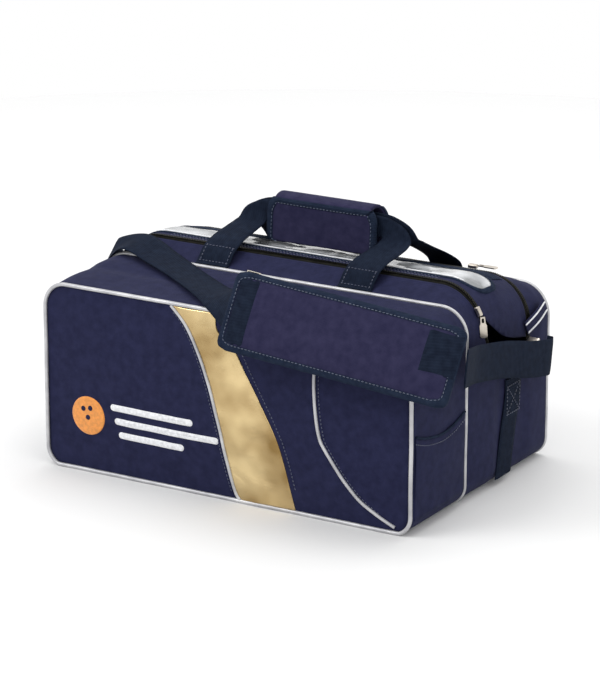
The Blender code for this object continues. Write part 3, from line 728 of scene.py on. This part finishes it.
def top_point(x, y, lift=0.0):
    """Point on the main section's top surface at (x, y), lifted along its normal."""
    height, radius = section_at(MAIN_SECTIONS, y)
    over = abs(x) - (HALF_LENGTH - radius)
    if over <= 0:
        return Vector((x, y, height + lift))
    over = min(over, radius * 0.999)
    drop = math.sqrt(radius * radius - over * over)
    side = math.copysign(1.0, x)
    return Vector((x + side * lift * over / radius, y, height - radius + drop + lift * drop / radius))


def make_lid():
    """Lid frame, window, window binding and stitching."""
    cloth = strip("lid_frame_cloth", -0.004, HINGE_Y + 0.002, 30, 0.0, CLOTH, NAVY)
    cut(cloth, lid_profile(ZIP_R - 0.0046), -0.4, 0.4, "X", "INTERSECT")
    cut(cloth, rounded_rectangle(WINDOW_LOW, WINDOW_HIGH, WINDOW_CORNER), 0.2, 0.32, "Z")
    ride(cloth, "lid", "navy_fabric", "lid_frame")

    rows = []
    for j in range(19):
        y = WINDOW_LOW[1] + 0.0004 + (WINDOW_HIGH[1] - WINDOW_LOW[1] - 0.0008) * j / 18
        edge = WINDOW_CORNER - min(WINDOW_CORNER, y - WINDOW_LOW[1], WINDOW_HIGH[1] - y)
        half = WINDOW_HIGH[0] - 0.0004 - (WINDOW_CORNER - math.sqrt(max(WINDOW_CORNER ** 2 - edge ** 2, 0.0)))
        row = []
        for i in range(121):
            x = -half + 2 * half * i / 120
            fade = math.sin(math.pi * j / 18) ** 0.5 * min((half - abs(x)) / 0.01, 1.0)
            wave = 0.0016 * wrinkle((x, y * 1.5, 0.0), 26.0, 4.0)
            wave += 0.0007 * wrinkle((x, y, 0.0), 70.0, 8.0)
            row.append(top_point(x, y, 0.0004 + fade * wave))
        rows.append(row)
    pane = thicken(grid("lid_window_vinyl", rows, VINYL), 0.0005)
    ride(pane, "lid", "window", "lid_window")

    border = rounded_rectangle(WINDOW_LOW, WINDOW_HIGH, WINDOW_CORNER, 8)
    dense = [p for p, _ in resample([(x, y, 0.0) for x, y in border], 0.006, cyclic=True)]
    middle_y = (WINDOW_LOW[1] + WINDOW_HIGH[1]) / 2
    edge_rows = []
    for offset, lift in ((-0.0015, 0.0006), (-0.0012, 0.0012), (0.0010, 0.0016), (0.0040, 0.0014),
                         (0.0046, 0.0002)):
        row = []
        for p in dense:
            spine_x = min(max(p.x, WINDOW_LOW[0] + WINDOW_CORNER), WINDOW_HIGH[0] - WINDOW_CORNER)
            out = p - Vector((spine_x, middle_y, 0.0))
            if abs(out.x) < 1e-6:
                out = Vector((0.0, math.copysign(1.0, out.y), 0.0))
            out.normalize()
            q = p + out * offset
            row.append(top_point(q.x, q.y, lift))
        edge_rows.append(row)
    ride(grid("window_binding", edge_rows, BINDING, closed=True), "lid", "navy_fabric")
    # Painted highlight: a white cord along the window's front edge stands in for the light caught by the
    # vinyl's edge.
    edge_glint = [top_point(-0.232 + 0.464 * i / 80, WINDOW_LOW[1] + 0.0016, 0.0016) for i in range(81)]
    ride(rod("window_edge_glint_cord", edge_glint, 0.0011, WHITE_THREAD, sides=8), "lid", "window")

    rim = [[top_point(-0.240 + 0.480 * i / 100, 0.0822 + 0.0300 * j / 8, 0.0003 if j in (0, 8) else 0.0012)
            for i in range(101)] for j in range(9)]
    ride(grid("lid_rear_rim_web", rim, BINDING), "lid", "webbing")

    def up(point):
        return (0.0, -0.1, 1.0)

    seam_rows = [[top_point(-0.20 + 0.40 * i / 100, y, 0.0003) for i in range(101)] for y in (0.0085, 0.0155)]
    ride(stitches("lid_stitches", seam_rows, up), "lid", "navy_fabric")


def zip_tape(name, inner, outer, low_angle, body, node_name):
    """Woven zipper tape between two radii about the lid's hinge."""
    tape = strip(name, -0.008, 0.030, 12, TAPE_LIFT, TAPE_THICKNESS, TAPE)
    centre = (HINGE_Y, HINGE_Z)
    profile = arc(centre, inner, 150, low_angle, 28) + arc(centre, outer, low_angle, 150, 28)
    cut(tape, profile, -0.4, 0.4, "X", "INTERSECT")
    ride(tape, body, "zipper_tape", node_name)


def zip_line(radius, lowest):
    """Points with outward normals along the zipper, up one end, over the top and down the other."""
    points = []
    y = HINGE_Y - radius
    for _ in range(3):
        height, _corner = section_at(MAIN_SECTIONS, y)
        y = HINGE_Y - math.sqrt(max(radius ** 2 - (height - HINGE_Z) ** 2, 0.0))
    for x, z, nx, nz in section_ring(*section_at(MAIN_SECTIONS, y)):
        if z < lowest:
            continue
        depth = HINGE_Y - math.sqrt(max(radius ** 2 - (z - HINGE_Z) ** 2, 0.0))
        points.append((Vector((x, depth, z)), Vector((nx, 0.0, nz))))
    return points


def teeth_row(name, line, side, body):
    """Coil of zipper teeth along a line, on one side of it."""
    verts, faces = [], []
    position = [p for p, _ in line]
    normals = [n for _, n in line]
    travelled, target = 0.0, 0.0
    for a, b, n in zip(position, position[1:], normals):
        span = (b - a).length
        if span > 0.03 or span == 0:
            continue
        along = (b - a) / span
        across = along.cross(n).normalized()
        while target <= travelled + span:
            centre = a + along * (target - travelled) + n * 0.0008
            if across.y > 0:
                across = -across
            middle = centre + across * (side * 0.0011)
            base = len(verts)
            for s in (-0.5, 0.5):
                for t in (-0.5, 0.5):
                    for u in (-0.5, 0.5):
                        shrink = 0.7 if u > 0 else 1.0
                        verts.append(middle + along * (0.0016 * s * shrink) + across * (0.0024 * t)
                                     + n * (0.0012 * u))
            for f in ((0, 1, 3, 2), (4, 6, 7, 5), (0, 4, 5, 1), (2, 3, 7, 6), (0, 2, 6, 4), (1, 5, 7, 3)):
                faces.append(tuple(base + k for k in f))
            target += TOOTH_PITCH
        travelled += span
    ride(add(name, verts, faces, TEETH, smooth=False), body, "zipper_tape")


def make_zippers():
    """Tapes, teeth and finishes of the zippers."""
    zip_tape("lid_zip_tape_weave", ZIP_R - 0.0045, ZIP_R - 0.00015, 200, "lid", "lid_zip_tape")
    zip_tape("case_zip_tape_weave", ZIP_R + 0.00015, ZIP_R + 0.0048, 225, "root", "case_zip_tape")
    rear = strip("rear_zip_tape_weave", HINGE_Y + 0.0003, HINGE_Y + 0.0105, 3, TAPE_LIFT, TAPE_THICKNESS,
                 TAPE)
    cut(rear, [(HINGE_Y, 0.1703), (HINGE_Y + 0.02, 0.1703), (HINGE_Y + 0.02, 0.32), (HINGE_Y, 0.32)],
        -0.4, 0.4, "X", "INTERSECT")
    ride(rear, "root", "zipper_tape", "rear_zip_tape")
    teeth_row("lid_teeth", zip_line(ZIP_R - 0.0002, 0.222), -1, "lid")
    teeth_row("case_teeth", zip_line(ZIP_R + 0.0002, 0.190), 1, "root")
    rear_y = HINGE_Y + 0.0055
    ring = [(Vector((x, rear_y, z)), Vector((nx, 0, nz)))
            for x, z, nx, nz in section_ring(*section_at(MAIN_SECTIONS, rear_y)) if z > 0.176]
    teeth_row("rear_teeth_front", ring, 1, "root")
    teeth_row("rear_teeth_back", ring, -1, "root")
    low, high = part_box("pocket_zip_tape")
    straight = []
    for i in range(41):
        x = low[0] + 0.003 + (high[0] - low[0] - 0.006) * i / 40
        straight.append((Vector((x, POCKET_ZIP_Y, high[2])), Vector((0, 0, 1))))
    teeth_row("pocket_teeth_front", straight, 1, "root")
    teeth_row("pocket_teeth_back", straight, -1, "root")
    paint("pocket_zip_tape", TAPE)


# ---------------------------------------------------------------- webbing

def webbing(name, centres, sides, thickness, material):
    """Flat webbing with rounded edges through centre points and half-width vectors."""
    path = [Vector(p) for p in spline(centres, WEB_STEPS)]
    across = [Vector(s) for s in spline(sides, WEB_STEPS)]
    return ribbon(name, path, across, thickness, material)


def ribbon(name, path, across, thickness, material):
    """Closed ribbon: rows across the width on both faces, thinner at the edges."""
    there = [(-1 + 2 * lane / WEB_LANES, 1) for lane in range(WEB_LANES + 1)]
    back = [(t, -1) for t, _ in reversed(there)]
    rows = []
    for i, (centre, side) in enumerate(zip(path, across)):
        before, after = path[max(i - 1, 0)], path[min(i + 1, len(path) - 1)]
        normal = (after - before).cross(side).normalized()
        row = []
        for t, face in there + back:
            half = thickness / 2 * (1 - 0.55 * abs(t) ** 8)
            row.append(centre + side * t + normal * (face * half))
        rows.append(row)
    count = len(rows[0])
    obj = grid(name, rows, material, closed=True)

    def close_ends(bm):
        bm.verts.ensure_lookup_table()
        bm.faces.new([bm.verts[i] for i in range(count)])
        bm.faces.new([bm.verts[(len(rows) - 1) * count + i] for i in range(count)])

    edit(obj, close_ends)
    obj.data.shade_smooth()
    return obj


FRONT_PROFILE = ((-0.0400, 0.2592), (-0.0360, 0.2625), (-0.0240, 0.2790), (-0.0060, 0.2885), (0.0180, 0.2945),
                 (0.0400, 0.3000), (0.0515, 0.3065), (0.0540, 0.3345))
REAR_PROFILE = ((0.1765, 0.2375), (0.1720, 0.2405), (0.1580, 0.2550), (0.1300, 0.2720), (0.1020, 0.2860),
                (0.0800, 0.2980), (0.0680, 0.3065), (0.0655, 0.3345))


def along_profile(profile, distance):
    """Point at a distance along a (y, z) profile."""
    left = distance
    for (y0, z0), (y1, z1) in zip(profile, profile[1:]):
        span = math.hypot(y1 - y0, z1 - z0)
        if left <= span or (y1, z1) == profile[-1]:
            part = left / span
            return y0 + (y1 - y0) * part, z0 + (z1 - z0) * part
        left -= span


def handle(name, profile, root_x, body, node_name):
    """Webbing handle whose legs rise from the gusset and turn into the grip."""
    curve = spline(profile, 8)
    total = sum(math.hypot(b[0] - a[0], b[1] - a[1]) for a, b in zip(curve, curve[1:]))
    grip = total - 0.0165
    leg_top = grip - 0.032
    legs = ((root_x, 0.0, LEG_HALF, 0.0), (root_x, 0.034, LEG_HALF, 0.0), (TURN_X, leg_top, 0.0225, 0.0),
            (TURN_X - 0.004, grip - 0.012, 0.0185, 0.008), (0.0930, grip - 0.002, 0.008, GRIP_HALF - 0.002),
            (0.0730, grip, 0.0, GRIP_HALF))
    path = list(legs) + [(0.0, grip, 0.0, GRIP_HALF)] + [(-x, v, -s, rise) for x, v, s, rise in legs[::-1]]
    path = [(x + WRAP_X * min(v / leg_top, 1.0), v, s, rise) for x, v, s, rise in path]
    centres, sides = [], []
    for x, v, side, rise in spline(path, 9):
        low = along_profile(curve, max(v - rise, 0.0))
        high = along_profile(curve, v + rise)
        middle = along_profile(curve, v)
        if rise > 0.001:
            middle = ((low[0] + high[0]) / 2, (low[1] + high[1]) / 2)
        centres.append(Vector((x, *middle)))
        sides.append(Vector((side, (high[0] - low[0]) / 2, (high[1] - low[1]) / 2)))
    obj = ribbon(name, centres, sides, WEB, WEB_X)
    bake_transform(obj)
    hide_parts(node_name)
    facing = -1.0 if body == "front_carry" else 1.0
    corners = ((-0.020, 0.006), (0.020, 0.006), (0.020, 0.028), (-0.020, 0.028), (-0.020, 0.006))
    lines = []
    for side in (-1, 1):
        for (x0, v0), (x1, v1) in zip(corners, corners[1:]):
            line = []
            for k in range(9):
                v = v0 + (v1 - v0) * k / 8
                (ya, za), (yb, zb) = along_profile(curve, v - 0.001), along_profile(curve, v + 0.001)
                normal = Vector((0.0, facing * (zb - za), -facing * (yb - ya))).normalized()
                centre = Vector((side * root_x + x0 + (x1 - x0) * k / 8 + WRAP_X * v / leg_top,
                                 (ya + yb) / 2, (za + zb) / 2))
                line.append(centre + normal * (WEB / 2))
            lines.append(line)
    sewn = stitches(name + "_stitches", lines, lambda p: (0.0, facing * 0.75, 0.65))
    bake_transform(sewn)


def make_handles():
    """Handles with their sewn feet, and the two halves of the hand wrap."""
    handle("front_handle_web", FRONT_PROFILE, 0.107, "front_carry",
           "front_handle")
    handle("rear_handle_web", REAR_PROFILE, 0.125, "rear_carry",
           "rear_handle")
    wrap_half("front_wrap_pad", "front_wrap", 0.0405, 0.0450, -1, "front_carry")
    wrap_half("rear_wrap_pad", "rear_wrap", 0.0805, 0.0755, 1, "rear_carry")


def wrap_section(outer_bottom, outer_top, side):
    """(y, z) line up the outer face of the wrap and over to its parting line."""
    split = WRAP_SPLIT + side * 0.0004
    belly = outer_bottom + (outer_top - outer_bottom) * 0.5
    return spline([(outer_bottom, WRAP_BOTTOM), (belly, WRAP_BOTTOM + 0.028), (outer_top, WRAP_TOP - 0.009),
                   (outer_top - side * 0.0040, WRAP_TOP - 0.0024), (split, WRAP_TOP)], 8)


def wrap_half(name, node_name, outer_bottom, outer_top, side, body):
    """Padded half of the hand wrap with bound edges and a row of stitches."""
    section = wrap_section(outer_bottom, outer_top, side)
    top_corner, foot_corner = 0.024, 0.008

    def half_at(z):
        down = max(z - (WRAP_TOP - top_corner), 0.0)
        foot = max(WRAP_BOTTOM + foot_corner - z, 0.0)
        cut_top = top_corner - math.sqrt(max(top_corner ** 2 - down ** 2, 0.0))
        return WRAP_HALF - 0.9 * cut_top - (foot_corner - math.sqrt(max(foot_corner ** 2 - foot ** 2, 0.0)))

    rows = []
    for k, (y, z) in enumerate(section):
        half = half_at(min(z, WRAP_TOP - 0.004))
        part = k / (len(section) - 1)
        row = []
        for i in range(61):
            t = -1 + 2 * i / 60
            crown = 0.0022 * (1 - t ** 4) * math.sin(math.pi * min(part * 1.15, 1.0)) ** 0.7
            crease = 0.0007 * wrinkle((t * 0.08, 0.0, z), 45.0, 11.0) * (1 - t ** 6)
            row.append((WRAP_X + half * t, y + side * (crown + crease), z))
        rows.append(row)
    pad = grid(name, rows, PAD_NAVY)
    thicken(pad, 0.0045, float(side))
    ride(pad, body, "navy_fabric", node_name)
    last = 18  # The section's row that the binding follows along the top.
    border = [rows[k][0] for k in range(last)] + [rows[last][i] for i in range(0, 61, 2)]
    border += [rows[k][60] for k in range(last, -1, -1)]

    def inset(point, amount, out):
        x = WRAP_X + (point[0] - WRAP_X) * (1 - amount / WRAP_HALF)
        z = WRAP_BOTTOM + (point[2] - WRAP_BOTTOM) * (1 - amount / (WRAP_TOP - WRAP_BOTTOM))
        return (x, point[1] + side * out, z)

    bands = []
    for amount, out in ((-0.0008, -0.0030), (-0.0012, 0.0006), (0.0030, 0.0018), (0.0075, 0.0020),
                        (0.0080, -0.0002)):
        bands.append([inset(p, amount, out) for p in border])
    ride(grid(name + "_binding", bands, BINDING), body, "webbing")
    sewn = [inset(p, 0.0062, 0.0019) for p in border]
    pale = satin_stitch(name + "_thread", (0.055, 0.075, 0.14), "X")
    ride(stitches(name + "_stitches", [sewn], lambda p: (0, side, 0.15), pale), body, "webbing")


# ---------------------------------------------------------------- shoulder strap

def pad_point(x, y, face=1.0, out=0.0):
    """Point on the pad's face, crowned and thinner near its edge; x and y run along and across it."""
    u, v = abs(x) / (PAD_LENGTH / 2), abs(y) / (PAD_WIDTH / 2)
    crown = 0.0075 * (1 - min(u, 1) ** 6) * (1 - min(v, 1) ** 3.5)
    soft = 0.0008 * wrinkle((x, y, face), 30.0, 6.0) * (1 - min(u, 1) ** 4) * (1 - min(v, 1) ** 4)
    depth = 0.0030 + (crown if face > 0 else crown * 0.35) + soft + out
    bow = -0.016 * max((x + 0.02) / 0.175, 0.0) ** 2 * 0.35
    return PAD_MATRIX @ Vector((x, y, face * depth + bow))


def squircle(s, t, corner=0.12):
    """Square to rounded rectangle: pulls only the corners in."""
    pull = 1 - corner * (s * s * t * t) ** 3
    return s * pull, t * pull


def make_pad():
    """Padded shoulder pad with webbing ends, binding and stitches."""
    half_l, half_w = PAD_LENGTH / 2, PAD_WIDTH / 2
    columns, lanes = 96, 30
    rows = []
    for face, order in ((1.0, range(lanes + 1)), (-1.0, range(lanes, -1, -1))):
        for j in order:
            row = []
            for i in range(columns + 1):
                s, t = squircle(-1 + 2 * i / columns, -1 + 2 * j / lanes)
                row.append(pad_point(s * half_l, t * half_w, face))
            rows.append(row)
    pad = grid("strap_pad_cloth", rows + [rows[0]], PAD_NAVY)
    edit(pad, lambda bm: bmesh.ops.remove_doubles(bm, verts=bm.verts, dist=0.00005),
         lambda bm: bmesh.ops.holes_fill(bm, edges=[e for e in bm.edges if e.is_boundary]))
    ride(pad, "root", "navy_fabric", "strap_pad")

    edge = []
    for k in range(240):
        angle = 2 * math.pi * k / 240
        edge.append(rounded_at(math.cos(angle), math.sin(angle), half_l, half_w, 0.012))
    rings = []
    for face, steps in ((1.0, ((0.0075, 0.0), (0.0070, 0.0010), (0.0030, 0.0013), (-0.0006, -0.0004),
                               (-0.0010, -0.0030))),
                        (-1.0, ((-0.0008, -0.0006), (0.0030, 0.0010), (0.0080, 0.0010), (0.0085, 0.0)))):
        for inward, out in steps:
            rings.append([pad_point(*shrink(p, inward, half_l, half_w), face, out) for p in edge])
    ride(grid("pad_binding", rings, BINDING, closed=True), "root", "webbing")
    pale = satin_stitch("pad_thread", (0.045, 0.062, 0.12), "X")
    sewn = [pad_point(*shrink(p, 0.0062, half_l, half_w), 1.0, 0.0012) for p in edge]
    normal = PAD_MATRIX.to_3x3() @ Vector((0, 0, 1))
    ride(stitches("pad_stitches", [sewn + sewn[:1]], lambda p: normal, pale), "root", "webbing")

    patches = (("left", -half_l + 0.007, -half_l + 0.036, -half_w + 0.008, half_w - 0.008),
               ("right", half_l - 0.044, half_l + 0.0004, -0.0125, half_w - 0.010))
    for name, x0, x1, y0, y1 in patches:
        patch = []
        for j in range(25):
            y = y0 + (y1 - y0) * j / 24
            lane = []
            for i in range(11):
                x = x0 + (x1 - x0) * i / 10
                rib = 0.0004 * math.sin(2 * math.pi * x / 0.0042)
                edge_drop = 0.0004 if 0 < i < 10 and 0 < j < 24 else -0.0008
                over_binding = 0.0016 if x > half_l - 0.010 else 0.0
                lane.append(pad_point(x, y, 1.0, 0.0006 + rib + edge_drop + over_binding))
            patch.append(lane)
        ride(grid("pad_end_web_" + name, patch, WEB_Z), "root", "webbing")


def rounded_at(c, s, half_l, half_w, corner):
    """Point of a rounded rectangle's outline in a direction."""
    reach = min(half_l / max(abs(c), 1e-6), half_w / max(abs(s), 1e-6))
    x, y = c * reach, s * reach
    inner_x, inner_y = half_l - corner, half_w - corner
    if abs(x) > inner_x and abs(y) > inner_y:
        cx, cy = math.copysign(inner_x, x), math.copysign(inner_y, y)
        d = Vector((x - cx, y - cy))
        d.normalize()
        x, y = cx + d.x * corner, cy + d.y * corner
    return (x, y)


def shrink(point, inward, half_l, half_w):
    """Move an outline point inwards by the same amount in both directions."""
    return point[0] * (1 - inward / half_l), point[1] * (1 - inward / half_w)


STRAP_RIGHT = ([(0.3420, -0.1750, 0.2280), (0.3280, -0.1350, 0.2180), (0.3040, -0.0700, 0.2000),
                (0.2985, 0.0100, 0.1830), (0.3010, 0.0800, 0.1650), (0.3020, 0.1250, 0.1560),
                (0.2985, 0.1400, 0.1545), (0.2940, 0.1340, 0.1570)], [(0.0, 0.004, STRAP_HALF * 0.97)] * 8)
STRAP_LEFT = ([(0.0240, -0.2040, 0.2620), (-0.0030, -0.1790, 0.2640), (-0.0400, -0.1440, 0.2600),
               (-0.1050, -0.0950, 0.2585), (-0.1700, -0.0590, 0.2645), (-0.2300, -0.0330, 0.2720),
               (-0.2720, -0.0260, 0.2500), (-0.2825, -0.0060, 0.2300), (-0.2870, 0.0180, 0.2080),
               (-0.2880, 0.0390, 0.1890)],
              [(-0.004, -0.0110, -0.0215), (-0.010, -0.0160, -0.0120), (-0.014, -0.0190, -0.0020),
               (-0.014, -0.0195, 0.0), (-0.013, -0.0200, -0.0020), (-0.009, -0.0215, -0.0060),
               (-0.001, -0.0180, -0.0160), (0.0, -0.0168, -0.0175), (0.0, -0.0168, -0.0175),
               (0.0, -0.0168, -0.0175)])


def make_strap():
    """Webbing runs, end webbing with box stitching, ring keepers and the striped tab."""
    ride(webbing("strap_right_web", *STRAP_RIGHT, WEB, WEB_Y), "root", "webbing", "strap_right")
    ride(webbing("strap_left_web", *STRAP_LEFT, WEB, WEB_X), "root", "webbing", "strap_left")
    for side, name in ((1, "right"), (-1, "left")):
        low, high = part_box("end_webbing_" + name)
        x = (low[0] + high[0]) / 2
        top_y = high[1] - 0.021
        centres = [(x, top_y - 0.024, 0.010), (x, top_y - 0.019, 0.034), (x, top_y - 0.010, 0.075),
                   (x, top_y, 0.115), (x, top_y, high[2])]
        piece = webbing("end_web_" + name, centres, [(0, 0.021, 0)] * 5, WEB, WEB_Z)
        ride(piece, "root", "webbing", "end_webbing_" + name)
        face = x + side * (WEB / 2 + 0.0001)
        y0, y1, z0, z1 = top_y - 0.017, top_y + 0.017, 0.090, 0.128
        box = [(face, y0, z0), (face, y1, z0), (face, y1, z1), (face, y0, z1), (face, y0, z0), (face, y1, z1)]
        other = [(face, y1, z0), (face, y0, z1)]
        outward = (side, 0, 0)
        ride(stitches("end_box_stitch_" + name, [box, other], lambda p, o=outward: o), "root", "webbing")
        paint("ring_keeper_" + name, WEB_Z)
    centres = [(0.2756, 0.1130, 0.1930), (0.2785, 0.1380, 0.2030), (0.2770, 0.1620, 0.2120)]
    sides = [(0.0, 0.006, -0.010)] * 3
    tab = webbing("end_tab_web", centres, sides, 0.0018, NAVY)
    ride(tab, "root", "navy_fabric", "end_tab")
    for k, t in enumerate((-0.62, 0.62)):
        line = [Vector(c) + Vector(s) * t + Vector((0.0011, 0, 0))
                for c, s in zip(spline(centres), spline(sides))]
        ride(rod("end_tab_stripe_%d" % k, line, 0.0012, WHITE_THREAD, sides=8), "root", "piping")


def make_side_pocket():
    """Slip pocket on the shoe compartment's right end, with a bound, dipped mouth and a seam below it."""
    x = HALF_LENGTH + 0.0026
    mouth = spline([(x - 0.0008, FRONT_Y + 0.006, 0.129), (x + 0.0006, -0.150, 0.121),
                    (x + 0.0014, -0.113, 0.116), (x + 0.0010, -0.082, 0.119),
                    (x - 0.0006, SEAM_Y - 0.006, 0.127)], 8)
    rows = []
    for j in range(17):
        t = j / 16
        row = []
        for px, py, pz in mouth:
            z = pz + (0.020 - pz) * t
            puff = 0.0016 * math.sin(math.pi * min(t * 1.3, 1.0)) + 0.0006 * wrinkle((0, py, z), 50.0)
            edge = 1 - abs((py - (FRONT_Y + SEAM_Y) / 2) / ((SEAM_Y - FRONT_Y) / 2)) ** 6
            row.append((px - 0.0008 * t + puff * edge, py, z))
        rows.append(row)
    ride(thicken(grid("side_pocket_cloth", rows, NAVY), 0.0012, 1.0), "root", "navy_fabric")
    ride(rod("side_pocket_binding", mouth, 0.0016, BINDING), "root", "navy_fabric")
    sewn = [(px + 0.0008, py, pz - 0.009) for px, py, pz in mouth]
    ride(stitches("side_pocket_stitches", [sewn], lambda p: (1, 0, 0)), "root", "navy_fabric")


def turn_front_pull():
    """Front slider's pull, turned about its own length as it hangs freely from the slider."""
    source = NODES["front_slider_pull"]
    points = [source.matrix_world @ v.co for v in source.data.vertices]
    points.sort(key=lambda p: p.z)
    share = max(len(points) // 5, 1)
    low = sum(points[:share], Vector()) / share
    high = sum(points[-share:], Vector()) / share
    turn = Matrix.Translation(high) @ Matrix.Rotation(PULL_TURN, 4, (low - high).normalized())
    turn = turn @ Matrix.Translation(-high) @ source.matrix_world
    faces = [tuple(face.vertices) for face in source.data.polygons]
    pull = add("front_pull_metal", [turn @ v.co for v in source.data.vertices], faces, METAL, smooth=False)
    ride(pull, "front_zip_pull", "zipper_metal", "front_slider_pull")


def finish_cad_nodes():
    """Materials of the CAD nodes that show as they are."""
    metal = [n for n in NODES if "slider" in n or n.startswith(("d_ring", "hook", "slide_buckle"))]
    foams = ("ball_cup_left", "ball_cup_right", "ball_divider")
    for names, material in ((metal, METAL), (("base_board",), BOARD), (foams, FOAM),
                            (("divider_panel",), NAVY)):
        for name in names:
            paint(name, material)


# ---------------------------------------------------------------- stage

AIM = Vector((0, 0, 0.12))


def area_light(name, place, size, power):
    """Soft square light that faces the bag."""
    data = bpy.data.lights.new(name, "AREA")
    data.size = size
    data.energy = power
    obj = bpy.data.objects.new(name, data)
    obj.location = place
    obj.rotation_euler = (AIM - Vector(place)).to_track_quat("-Z", "Y").to_euler()
    link(obj)


def make_stage():
    """Pale floor, soft lights and the camera."""
    mesh = bpy.data.meshes.new("floor")
    rim = arc((0.0, 0.0), 2.2, 0, 354, 59)
    mesh.from_pydata([(x, y, 0.0) for x, y in rim], [], [tuple(range(60))])
    mesh.materials.append(new_material("floor_white", (0.76, 0.76, 0.76), 0.9)[0])
    link(bpy.data.objects.new("floor", mesh))
    world = bpy.data.worlds.new("studio")
    world.use_nodes = True
    background = world.node_tree.nodes["Background"]
    background.inputs["Color"].default_value = (1, 1, 1, 1)
    background.inputs["Strength"].default_value = 1.0
    bpy.context.scene.world = world
    area_light("key", (-1.6, -2.2, 2.6), 1.8, 48)
    area_light("fill", (2.4, -1.4, 1.5), 1.6, 8)
    area_light("top", (0.2, 0.8, 2.8), 2.2, 30)
    bpy.context.scene.view_settings.view_transform = "Standard"

    camera = bpy.data.cameras.new("camera")
    camera.sensor_width = 36.0
    camera.lens = 169.2
    camera.shift_x = 0.0034
    camera.shift_y = 0.0319
    camera.clip_end = 50
    obj = bpy.data.objects.new("camera", camera)
    azimuth, elevation, distance = math.radians(31.06), math.radians(17.69), 4.3
    back = Vector((math.sin(azimuth) * math.cos(elevation), -math.cos(azimuth) * math.cos(elevation),
                   math.sin(elevation)))
    obj.location = AIM + back * distance
    obj.rotation_euler = back.to_track_quat("Z", "Y").to_euler()
    bpy.context.scene.camera = link(obj)


make_stage()
make_case()
make_pipings()
make_front_trim()
make_emblem()
make_lid()
make_zippers()
make_handles()
make_pad()
make_strap()
make_side_pocket()
turn_front_pull()
finish_cad_nodes()
